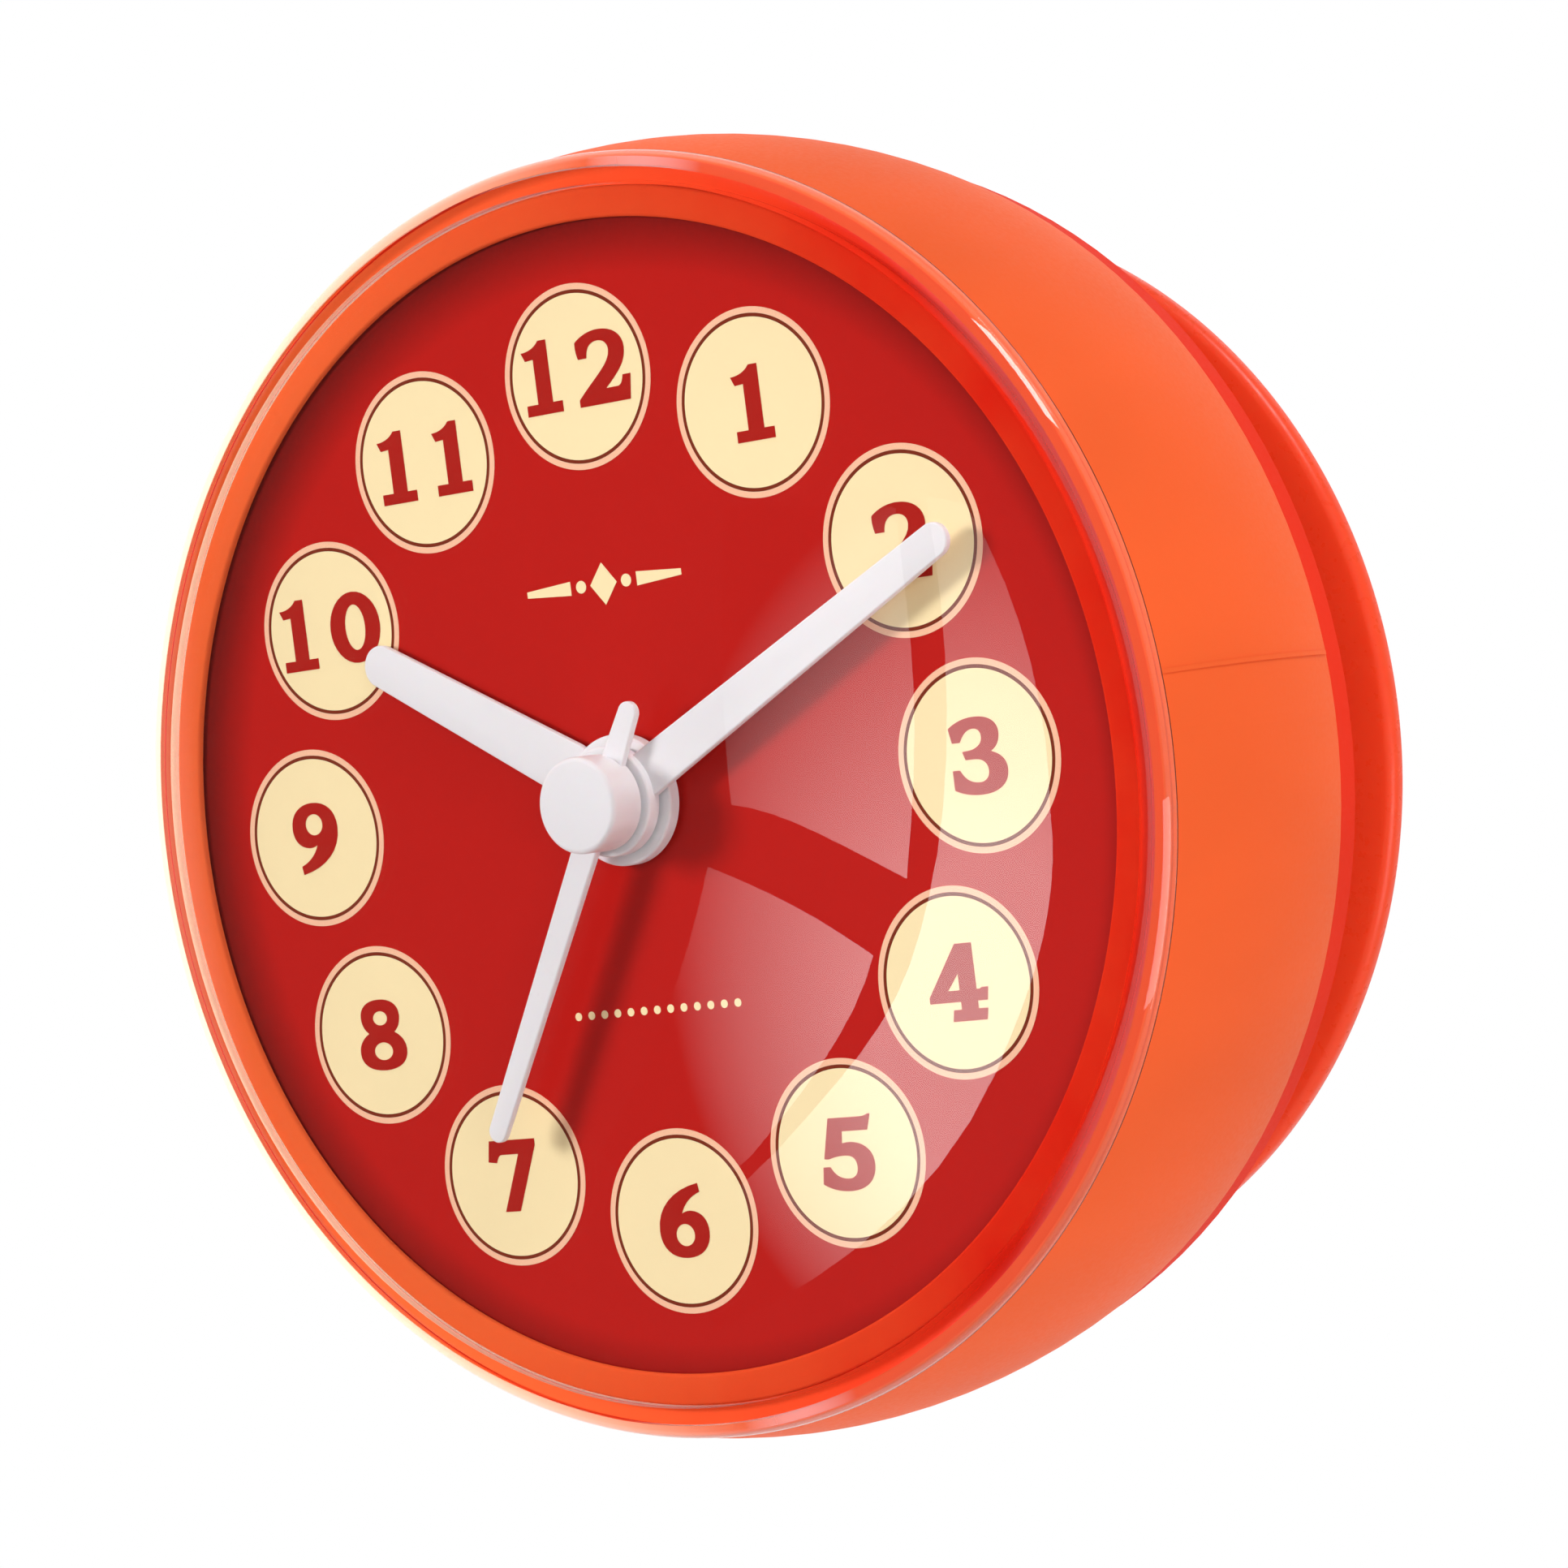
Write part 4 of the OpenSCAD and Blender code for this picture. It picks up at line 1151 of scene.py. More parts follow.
@dataclass
class Case:
    """The barrel's own details, the lens and the soft ring under it.

    Attributes:
        lip: Radius and depth of the barrel's front edge.
        lip_round: Rounding of that edge.
        widest_depth: Depth of its widest place.
        swell: How much wider it is there than at its rear edge.
        rear_depth: Depth of its rear edge.
        line_depths: Depths between which the mould's parting lines run.
        line_proud: How far the lines stand out.
        line_sunk: How far their roots lie in the wall.
        line_width: Their width.
        line_clock: Their clock directions.
        seal_radii: Inner and outer radius of the lens seal.
        seal_depths: Depths of its back and front faces.
        rim_radii: Inner and outer radius of the seal's rim over the dial.
        rim_depths: Depths of that rim's back and front faces.
        rim_round: Rounding of that rim's front edges.
        lens_radii: Inner and outer radius of the lens where it stands on the seal.
        lens_foot: Depth of the lens's foot.
        lens_walls: Depths where the lens's inner and outer walls end.
        lens_tops: Depths of the lens's inner and outer domes at the middle.
        lens_round: Rounding of the lens's outer edge.
        skirt_depths: Depths of the lower edge and the top of the lens's skirt over the lip.
        skirt_gap: Gap between the skirt and the barrel.
        skirt_thick: Thickness of the skirt.
        skirt_turn: Angle that the skirt goes round the lip's rounding, in degrees.
    """

    lip: Point = (45.3, 38.4)
    lip_round: float = 0.405
    widest_depth: float = 28.0
    swell: float = 1.0
    rear_depth: float = 17.0
    line_depths: Point = (17.7, 37.7)
    line_proud: float = 0.07
    line_sunk: float = 0.3
    line_width: float = 0.3
    line_clock: tuple[float, ...] = (85.0, 265.0)
    seal_radii: Point = (41.4, 44.2)
    seal_depths: Point = (36.2, 36.66)
    rim_radii: Point = (40.8, 43.0)
    rim_depths: Point = (37.1, 37.5)
    rim_round: float = 0.25
    lens_radii: Point = (43.1, 44.3)
    lens_foot: float = 36.7
    lens_walls: Point = (38.1, 39.4)
    lens_tops: Point = (44.95, 46.55)
    lens_round: float = 1.0
    skirt_depths: Point = (37.75, 39.03)
    skirt_gap: float = 0.05
    skirt_thick: float = 0.1
    skirt_turn: float = 75.0

    def flank(self) -> tuple[Point, float]:
        """Finds the circle that the barrel's side follows.

        Returns:
            The circle's centre and radius, in radius and depth.
        """
        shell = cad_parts["case_shell"].data
        widest = max(math.hypot(vert.co.x, vert.co.z) for vert in shell.vertices) / MM
        rear = (widest - self.swell, self.rear_depth)
        return circle_through(self.lip, (widest, self.widest_depth), rear)

    def parting_lines(self) -> Piece:
        """Builds the fine lines that the halves of the mould leave along the side.

        Returns:
            The lines as one piece.
        """
        centre, reach = self.flank()
        low, high = (math.asin((end - centre[1]) / reach) for end in self.line_depths)
        span = math.degrees(self.line_width / (centre[0] + reach))
        root, crest = reach - self.line_sunk, reach + self.line_proud
        parts = []
        for clock in self.line_clock:
            outline = Outline(*on_circle(centre, root, low)).to(*on_circle(centre, crest, low))
            outline.sweep(centre, math.degrees(high - low), ARC_STEPS)
            strip = outline.to(*on_circle(centre, root, high)).turned(1, span)
            parts.append(swung(strip, clock - 90.0 + span / 2.0))
        return finished("parting_lines", gathered(parts), CASE_ORANGE, Body.CASE)

    def lens_seal(self) -> Piece:
        """Builds the soft ring that the lens is pressed on, with its rim over the dial's edge.

        Returns:
            The ring.
        """
        (inner, outer), (back, front) = self.seal_radii, self.seal_depths
        (over, under), (low, high) = self.rim_radii, self.rim_depths
        outline = Outline(inner, back).to(outer, back).to(outer, front).to(under, front)
        outline.to(under, high, self.rim_round).to(over, high, self.rim_round)
        outline.to(over, low).to(inner, low)
        piece = finished(
            "lens_seal_ring", outline.turned(), SEAL_RED, Body.CASE
        )
        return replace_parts(piece, "lens_seal")

    def lens(self) -> Piece:
        """Builds the clear domed lens, which reaches over the barrel's lip with a thin skirt.

        Returns:
            The lens.
        """
        (inner, outer), (bottom, top) = self.lens_radii, self.lens_tops
        inside, outside = (
            dome(radius, peak - wall)
            for radius, peak, wall in zip(self.lens_radii, self.lens_tops, self.lens_walls)
        )
        centre, reach = self.flank()
        near = reach + self.skirt_gap
        edge, shoulder = self.skirt_depths
        turn_at = (self.lip[0] - self.lip_round, self.lip[1] - self.lip_round)
        low, high = (math.asin((end - centre[1]) / near) for end in (edge, turn_at[1]))
        over = self.lip[1] + self.skirt_gap
        peak_at = (0.0, top - outside)
        wide = math.sqrt(outside**2 - (shoulder - peak_at[1]) ** 2)
        outline = Outline(0.0, bottom)
        inner_turn = math.degrees(math.asin(inner / inside))
        outline.sweep((0.0, bottom - inside), -inner_turn, ARC_STEPS)
        outline.to(inner, self.lens_foot).to(outer, self.lens_foot).to(outer, over)
        outline.to(turn_at[0], over).sweep(turn_at, -self.skirt_turn, ROUND_STEPS)
        outline.to(*on_circle(centre, near, high))
        outline.sweep(centre, math.degrees(low - high), ROUND_STEPS)
        outline.to(on_circle(centre, near, low)[0] + self.skirt_thick, edge)
        outline.to(wide, shoulder, self.lens_round)
        outline.sweep(peak_at, math.degrees(math.asin(wide / outside)), ARC_STEPS)
        piece = finished("lens_dome", outline.turned(), LENS_CLEAR, Body.CASE)
        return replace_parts(piece, "lens")

    def build(self) -> list[Piece]:
        """Builds the case's own pieces and returns them."""
        return [self.parting_lines(), self.lens_seal(), self.lens()]


def oval(x: float, y: float, across: float, up: float) -> str:
    """Draws an oval as a closed outline.

    Args:
        x: Place of its middle to the right.
        y: Place of its middle upwards.
        across: Half its width.
        up: Half its height.

    Returns:
        The outline as letters and numbers.
    """
    a, u = across * OVAL_HANDLE, up * OVAL_HANDLE
    return (
        f"M {x} {y + up} C {x + a} {y + up} {x + across} {y + u} {x + across} {y} "
        f"C {x + across} {y - u} {x + a} {y - up} {x} {y - up} "
        f"C {x - a} {y - up} {x - across} {y - u} {x - across} {y} "
        f"C {x - across} {y + u} {x - a} {y + up} {x} {y + up}"
    )


@dataclass(frozen=True)
class Digit:
    """One bold digit with slab ends, drawn one unit high.

    Attributes:
        width: Its width against its height.
        loops: Its closed outlines, the openings among them.
        turned: Whether it is the drawing turned upside down.
    """

    width: float
    loops: tuple[str, ...]
    turned: bool = False

    def plate(self, height: float, thickness: float) -> Shape:
        """Makes the digit as a thin plate with its lower left corner at the origin.

        Args:
            height: Height of the digit.
            thickness: Thickness of the plate.

        Returns:
            The plate.
        """
        bm = flat_shape(self.loops, thickness)
        if self.turned:
            swung(bm, 180.0, (0.0, 0.5, 0.0))
        xs = [vert.co.x for vert in bm.verts]
        left, right = min(xs), max(xs)
        moved(bm, -left, 0.0)
        across = self.width * height / (right - left)
        bmesh.ops.scale(bm, verts=bm.verts, vec=(across, height, 1.0))
        return bm


SIX = (
    "M 0.71 1 L 0.73 0.88 C 0.58 0.83 0.46 0.74 0.4 0.6 C 0.46 0.63 0.52 0.64 0.57 0.63 "
    "C 0.73 0.61 0.82 0.49 0.82 0.34 C 0.82 0.13 0.66 0 0.42 0 C 0.16 0 0 0.15 0 0.38 "
    "C 0 0.7 0.28 0.93 0.71 1",
    oval(0.42, 0.31, 0.155, 0.15),
)
DIGITS: dict[str, Digit] = {
    "0": Digit(0.92, (oval(0.46, 0.5, 0.46, 0.5), oval(0.46, 0.5, 0.185, 0.32))),
    "1": Digit(0.62, (
        "M 0.32 1 L 0.46 1 L 0.46 0.15 L 0.63 0.15 L 0.63 0 L 0 0 L 0 0.15 L 0.2 0.15 "
        "L 0.2 0.76 L 0.06 0.75 L 0 0.87 C 0.12 0.87 0.25 0.91 0.32 1",
    )),
    "2": Digit(0.91, (
        "M 0.06 0.64 C 0.03 0.72 0.02 0.8 0.03 0.87 C 0.14 0.95 0.3 1 0.46 1 "
        "C 0.74 1 0.9 0.87 0.9 0.7 C 0.9 0.5 0.74 0.38 0.5 0.2 L 0.7 0.2 "
        "C 0.77 0.2 0.8 0.25 0.82 0.34 L 0.96 0.34 L 0.91 0 L 0 0 L 0 0.1 "
        "C 0.3 0.36 0.62 0.52 0.62 0.7 C 0.62 0.8 0.54 0.85 0.43 0.85 "
        "C 0.3 0.85 0.22 0.78 0.21 0.64 L 0.06 0.64",
    )),
    "3": Digit(0.85, (
        "M 0.04 0.69 L 0 0.88 C 0.12 0.96 0.26 1 0.42 1 C 0.64 1 0.77 0.91 0.77 0.77 "
        "C 0.77 0.66 0.71 0.58 0.62 0.54 C 0.76 0.5 0.85 0.42 0.85 0.29 "
        "C 0.85 0.11 0.68 0 0.42 0 C 0.26 0 0.11 0.03 0 0.09 L 0 0.34 L 0.11 0.34 "
        "C 0.17 0.22 0.27 0.16 0.4 0.16 C 0.5 0.16 0.56 0.22 0.56 0.3 "
        "C 0.56 0.4 0.48 0.46 0.36 0.46 L 0.22 0.46 L 0.18 0.57 L 0.32 0.58 "
        "C 0.43 0.6 0.5 0.66 0.5 0.74 C 0.5 0.81 0.45 0.85 0.38 0.85 "
        "C 0.29 0.85 0.22 0.8 0.16 0.69 L 0.04 0.69",
    )),
    "4": Digit(0.93, (
        "M 0.5 1 L 0.77 1 L 0.77 0.4 L 0.83 0.4 L 0.85 0.42 L 0.96 0.42 L 0.93 0.25 "
        "L 0.77 0.25 L 0.77 0.15 L 0.92 0.15 L 0.89 0 L 0.34 0 L 0.37 0.15 L 0.5 0.15 "
        "L 0.5 0.25 L 0 0.25 L 0 0.33",
        "M 0.5 0.62 L 0.5 0.4 L 0.31 0.4",
    )),
    "5": Digit(0.88, (
        "M 0.19 0.97 L 0.68 0.97 C 0.76 0.97 0.8 0.98 0.82 1 L 0.87 1 L 0.8 0.79 L 0.39 0.79 "
        "L 0.37 0.63 C 0.43 0.645 0.5 0.65 0.55 0.64 C 0.74 0.62 0.86 0.5 0.86 0.34 "
        "C 0.86 0.13 0.69 0 0.43 0 C 0.26 0 0.11 0.04 0 0.11 L 0.03 0.33 L 0.14 0.33 "
        "C 0.2 0.22 0.3 0.165 0.42 0.165 C 0.52 0.165 0.58 0.22 0.58 0.32 "
        "C 0.58 0.42 0.51 0.47 0.4 0.47 C 0.3 0.47 0.21 0.46 0.13 0.43 L 0.06 0.44",
    )),
    "6": Digit(0.84, SIX),
    "7": Digit(0.86, (
        "M 0.05 0.99 L 0.88 0.99 L 0.88 0.9 L 0.48 0 L 0.21 0 L 0.56 0.79 L 0.26 0.79 "
        "C 0.21 0.79 0.18 0.76 0.15 0.68 L 0 0.7",
    )),
    "8": Digit(0.86, (
        "M 0.455 1 C 0.7 1 0.83 0.9 0.83 0.76 C 0.83 0.66 0.78 0.58 0.7 0.53 "
        "C 0.82 0.48 0.91 0.39 0.91 0.27 C 0.91 0.1 0.74 0 0.455 0 C 0.17 0 0 0.1 0 0.27 "
        "C 0 0.39 0.09 0.48 0.21 0.53 C 0.13 0.58 0.08 0.66 0.08 0.76 "
        "C 0.08 0.9 0.21 1 0.455 1",
        oval(0.455, 0.735, 0.14, 0.1),
        oval(0.455, 0.27, 0.18, 0.125),
    )),
    "9": Digit(0.84, SIX, turned=True),
}


@dataclass
class DialPrint:
    """The printed discs, numerals and ornaments on the dial.

    Attributes:
        face: Depth of the dial's face.
        ink: Thickness of one layer of print.
        disc_ring: Radius of the ring that the discs' middles lie on.
        disc_radius: Radius of a cream disc.
        line_radius: Outer radius of the thin line round it.
        rim_radius: Outer radius of the pale ring round that.
        digit_height: Height of the numerals.
        digit_gap: Gap between two digits.
        ones_wider: How much wider that gap is between two ones.
        lifted: How far the numeral at the top sits above the middle of its disc.
        crest: Height of the upper ornament above the dial's middle.
        lozenge: Half the width and height of its lozenge.
        bar_ends: Where its bars begin and end.
        bar_halves: Half their height there.
        dot: Place of the dot between lozenge and bar, and its radius.
        dotted: Height of the lower dotted line, which is below the middle.
        dotted_half: Number of its dots on each side of the middle one.
        dotted_step: Distance from dot to dot.
        dotted_radius: Radius of these dots.
    """

    face: float = 37.0
    ink: float = 0.03
    disc_ring: float = 30.0
    disc_radius: float = 5.87
    line_radius: float = 6.13
    rim_radius: float = 6.57
    digit_height: float = 5.25
    digit_gap: float = 1.55
    ones_wider: float = 1.3
    lifted: float = 0.4
    crest: float = 15.3
    lozenge: Point = (1.2, 1.5)
    bar_ends: Point = (3.0, 7.0)
    bar_halves: Point = (0.5, 0.22)
    dot: Point = (2.05, 0.45)
    dotted: float = -15.0
    dotted_half: int = 6
    dotted_step: float = 1.2
    dotted_radius: float = 0.3

    def on_hours(self, inner: float, outer: float) -> Shape:
        """Makes one thin disc or ring at every hour.

        Args:
            inner: Inner radius, which is 0 for a disc.
            outer: Outer radius.

        Returns:
            The twelve plates.
        """
        parts = []
        for hour in range(12):
            outline = Outline(inner, 0.0).to(outer, 0.0).to(outer, self.ink).to(inner, self.ink)
            place = around(hour * HOUR_DEGREES, self.disc_ring)
            parts.append(moved(outline.turned(SMALL_STEPS), *place))
        return gathered(parts)

    def numeral(self, hour: int) -> Shape:
        """Sets an hour's digits side by side on the middle of its disc.

        Args:
            hour: The hour.

        Returns:
            The digits' plates.
        """
        digits = [DIGITS[word] for word in str(hour)]
        gap = self.digit_gap * (self.ones_wider if hour == 11 else 1.0)
        widths = [digit.width * self.digit_height for digit in digits]
        x, y = around(hour * HOUR_DEGREES, self.disc_ring)
        x -= (sum(widths) + gap * (len(widths) - 1)) / 2.0
        y += (self.lifted if hour == 12 else 0.0) - self.digit_height / 2.0
        parts = []
        for digit, width in zip(digits, widths):
            parts.append(moved(digit.plate(self.digit_height, self.ink), x, y))
            x += width + gap
        return gathered(parts)

    def ornaments(self) -> Shape:
        """Draws a lozenge between two bars above the hands and a dotted line below them.

        Returns:
            The ornaments' plates.
        """
        (across, up), (near, far), (thick, thin) = self.lozenge, self.bar_ends, self.bar_halves
        crest = [f"M 0 {up} L {across} 0 L 0 {-up} L {-across} 0"]
        for s in (-1, 1):
            crest.append(
                f"M {s * near} {thick} L {s * far} {thin} L {s * far} {-thin} L {s * near} {-thick}"
            )
            crest.append(oval(s * self.dot[0], 0.0, self.dot[1], self.dot[1]))
        row = [
            oval(self.dotted_step * number, 0.0, self.dotted_radius, self.dotted_radius)
            for number in range(-self.dotted_half, self.dotted_half + 1)
        ]
        upper = moved(flat_shape(crest, self.ink), 0.0, self.crest)
        return gathered([upper, moved(flat_shape(row, self.ink), 0.0, self.dotted)])

    def build(self) -> list[Piece]:
        """Builds the print's pieces.

        Returns:
            The pieces.
        """
        numerals = gathered(self.numeral(hour) for hour in range(1, 13))
        layers = [
            ("hour_discs", self.on_hours(0.0, self.disc_radius), DISC_CREAM, 0.0),
            ("hour_lines", self.on_hours(self.disc_radius, self.line_radius), LINE_BROWN, 0.0),
            ("hour_rims", self.on_hours(self.line_radius, self.rim_radius), RING_CREAM, 0.0),
            ("hour_numerals", numerals, NUMERAL_RED, self.ink),
            ("dial_ornaments", self.ornaments(), DISC_CREAM, 0.0),
        ]
        return [
            finished(name, bm, finish, Body.CASE, self.face + lift)
            for name, bm, finish, lift in layers
        ]


@dataclass
class Hand:
    """One moulded hand: a hub with a bore and one or two blades with round tips.

    Attributes:
        name: The piece's name.
        node: The CAD node that it stands for.
        body: The body that it rides on.
        clock: Its clock direction.
        hub: Radius and height of the hub.
        bore: Radius of the bore and its depth from below; as much as the hub is high goes through.
        depth: Depth of its back face.
        length: Length of the blade from the axis.
        widths: Widths of the blade at the axis and at its tip.
        tail: Length of the blade on the other side, or 0.
        edge: Rounding of the hub's upper edge.
        thick: Height of the blade's top above the hand's back face.
        lift: Height of the blade's back above it.
        soft: Rounding of the blade's upper edges.
        tip: How much of the tip's half width its corners' rounding takes.
    """

    name: str
    node: str
    body: Body
    clock: float
    hub: Point
    bore: Point
    depth: float
    length: float
    widths: Point
    tail: float = 0.0
    edge: float = 0.2
    thick: float = 0.5
    lift: float = 0.03
    soft: float = 0.14
    tip: float = 0.98

    def blade(self, length: float, clock: float) -> Shape:
        """Makes one blade with softened upper edges, rooted in the hub.

        Args:
            length: Its length from the axis.
            clock: Its clock direction.

        Returns:
            The blade.
        """
        bm = bmesh.new()
        root = (self.hub[0] + self.bore[0]) / 2.0
        wide, narrow = (width / 2.0 for width in self.widths)
        slope = (wide - narrow) / (length - narrow)
        near, far = wide - slope * root, narrow - slope * narrow
        corners = [(-near, root), (near, root), (far, length), (-far, length)]
        base = bm.faces.new([bm.verts.new((x, y, self.lift)) for x, y in corners])
        tips = [vert for vert in base.verts if vert.co.y > root]
        rounded(bm, tips, far * self.tip, TIP_STEPS, Soften.CORNERS)
        grown = bmesh.ops.extrude_face_region(bm, geom=bm.faces[:], use_keep_orig=True)["geom"]
        top = [part for part in grown if isinstance(part, bmesh.types.BMVert)]
        bmesh.ops.translate(bm, verts=top, vec=(0.0, 0.0, self.thick - self.lift))
        bmesh.ops.recalc_face_normals(bm, faces=bm.faces)
        upper = [part for part in grown if isinstance(part, bmesh.types.BMEdge)]
        rounded(bm, upper, self.soft, EDGE_STEPS, Soften.EDGES)
        return swung(bm, clock)

    def build(self) -> Piece:
        """Builds the hand as one solid.

        Returns:
            The hand.
        """
        (radius, height), (hole, hole_top) = self.hub, self.bore
        outline = Outline(hole, 0.0).to(radius, 0.0).to(radius, height, self.edge)
        if hole_top < height:
            outline.to(0.0, height).to(0.0, hole_top)
        outline.to(hole, hole_top)
        parts = [outline.turned(SMALL_STEPS), self.blade(self.length, self.clock)]
        if self.tail > 0.0:
            parts.append(self.blade(self.tail, self.clock + 180.0))
        bm = united(self.name, parts)
        piece = finished(self.name, bm, HAND_WHITE, self.body, self.depth)
        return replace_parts(piece, self.node)


HANDS = (
    Hand("hour_hand_moulded", "hour_hand", Body.HOURS, clock=299.5, hub=(4.65, 1.0),
         bore=(2.42, 1.0), depth=37.45, length=25.5, widths=(4.4, 3.1)),
    Hand("minute_hand_moulded", "minute_hand", Body.MINUTES, clock=64.0, hub=(3.9, 1.1),
         bore=(1.57, 1.1), depth=38.75, length=34.5, widths=(3.5, 2.4)),
    Hand("second_hand_moulded", "second_hand", Body.SECONDS, clock=210.0, hub=(3.4, 3.0),
         bore=(0.52, 2.2), depth=40.15, length=26.7, widths=(2.2, 1.6), tail=7.7, edge=0.4),
)


@dataclass
class SuctionCup:
    """The soft cup that holds the clock to the wall, with its stem and button.

    Attributes:
        radius: Radius at the wall.
        height: Height of the dome.
        wall: Thickness at the middle.
        edge: Thickness at the edge.
        edge_rounds: Roundings of the edge at the wall and above it.
        lip: Width of the flat lip on the wall.
        shoulder: Radius and top of the shoulder that bears on the cover, and its rounding.
        stem: Radius of the stem and depth of the button's back face.
        stem_round: Rounding between the shoulder and the stem.
        button: Radius of the button and depth of its top.
        button_rounds: Roundings of the button's back and top edges.
    """

    radius: float = 41.3
    height: float = 6.2
    wall: float = 2.2
    edge: float = 1.6
    edge_rounds: Point = (0.45, 0.7)
    lip: float = 1.5
    shoulder: Triple = (12.0, 7.9, 0.5)
    stem: Point = (5.0, 9.6)
    stem_round: float = 0.3
    button: Point = (7.4, 12.4)
    button_rounds: Point = (0.5, 1.0)

    def build(self) -> Piece:
        """Builds the cup as one turned solid with soft edges.

        Returns:
            The cup.
        """
        hollow = self.height - self.wall
        opening = self.radius - self.lip
        inside, outside = dome(opening, hollow), dome(self.radius, self.height - self.edge)
        rim, shoulder = (
            math.degrees(math.asin(end / outside)) for end in (self.radius, self.shoulder[0])
        )
        (low, high), (back, top) = self.edge_rounds, self.button_rounds
        outline = Outline(0.0, hollow)
        outline.sweep((0.0, hollow - inside), -math.degrees(math.asin(opening / inside)), ARC_STEPS)
        outline.to(self.radius, 0.0, low).to(self.radius, self.edge, high)
        outline.sweep((0.0, self.height - outside), rim - shoulder, ARC_STEPS)
        outline.to(*self.shoulder).to(self.stem[0], self.shoulder[1], self.stem_round)
        outline.to(*self.stem).to(self.button[0], self.stem[1], back).to(*self.button, top)
        bm = outline.to(0.0, self.button[1]).turned()
        piece = finished("suction_cup_vinyl", bm, CUP_VINYL, Body.WALL_MOUNT)
        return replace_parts(piece, "suction_cup")


@dataclass
class CoverSeal:
    """The soft ring between the cover and the case.

    Attributes:
        node: The CAD node that it stands for.
    """

    node: str = "cover_seal"

    def build(self) -> Piece:
        """Builds the round cord of the seal where the CAD ring lies.

        Returns:
            The cord.
        """
        low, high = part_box(self.node)
        cord = (high.y - low.y) / 2.0 / MM
        ring, depth = high.z / MM - cord, -(high.y + low.y) / 2.0 / MM
        open_turn = FULL_TURN * (CORD_STEPS - 1) / CORD_STEPS
        bm = Outline(ring + cord, depth).sweep((ring, depth), open_turn, CORD_STEPS - 1).turned()
        piece = finished("cover_seal_cord", bm, SEAL_BLACK, Body.WALL_MOUNT)
        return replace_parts(piece, self.node)


def dress_nodes() -> list[str]:
    """Gives every CAD node that stays its finish.

    Returns:
        The nodes' names.
    """
    dressed = []
    for finish, names in NODE_FINISHES:
        for name in names:
            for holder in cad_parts[name].material_slots:
                holder.material = finish.material()
            dressed.append(name)
    return sorted(dressed)


# ---------------------------------------------------------------- the studio


def direction(azimuth: float, elevation: float) -> Vector:
    """Gives the way from the clock to a place in front of it.

    Args:
        azimuth: Angle to the side, in degrees.
        elevation: Angle upwards, in degrees.

    Returns:
        The way, of length 1.
    """
    side, rise = math.radians(azimuth), math.radians(elevation)
    flat = math.cos(rise)
    return Vector((math.sin(side) * flat, -math.cos(side) * flat, math.sin(rise)))


@dataclass(frozen=True)
class Lamp:
    """A square soft lamp that looks at the clock.

    Attributes:
        name: Its name.
        azimuth: Its angle to the side, in degrees.
        elevation: Its angle upwards, in degrees.
        power: Its power, in watts.
        size: Its side, in metres.
        distance: Its distance from the clock, in metres.
        mirrored: Whether it shows in shiny surfaces.
    """

    name: str
    azimuth: float
    elevation: float
    power: float
    size: float = 0.5
    distance: float = 1.0
    mirrored: bool = False

    def build(self) -> Piece:
        """Builds the lamp.

        Returns:
            The lamp.
        """
        light = bpy.data.lights.new(self.name, "AREA")
        light.shape, light.size, light.energy = "SQUARE", self.size, self.power
        lamp = placed(self.name, light)
        back = direction(self.azimuth, self.elevation)
        lamp.location = back * self.distance
        lamp.rotation_euler = back.to_track_quat("Z", "Y").to_euler()
        lamp.visible_glossy = lamp.visible_transmission = self.mirrored
        return lamp


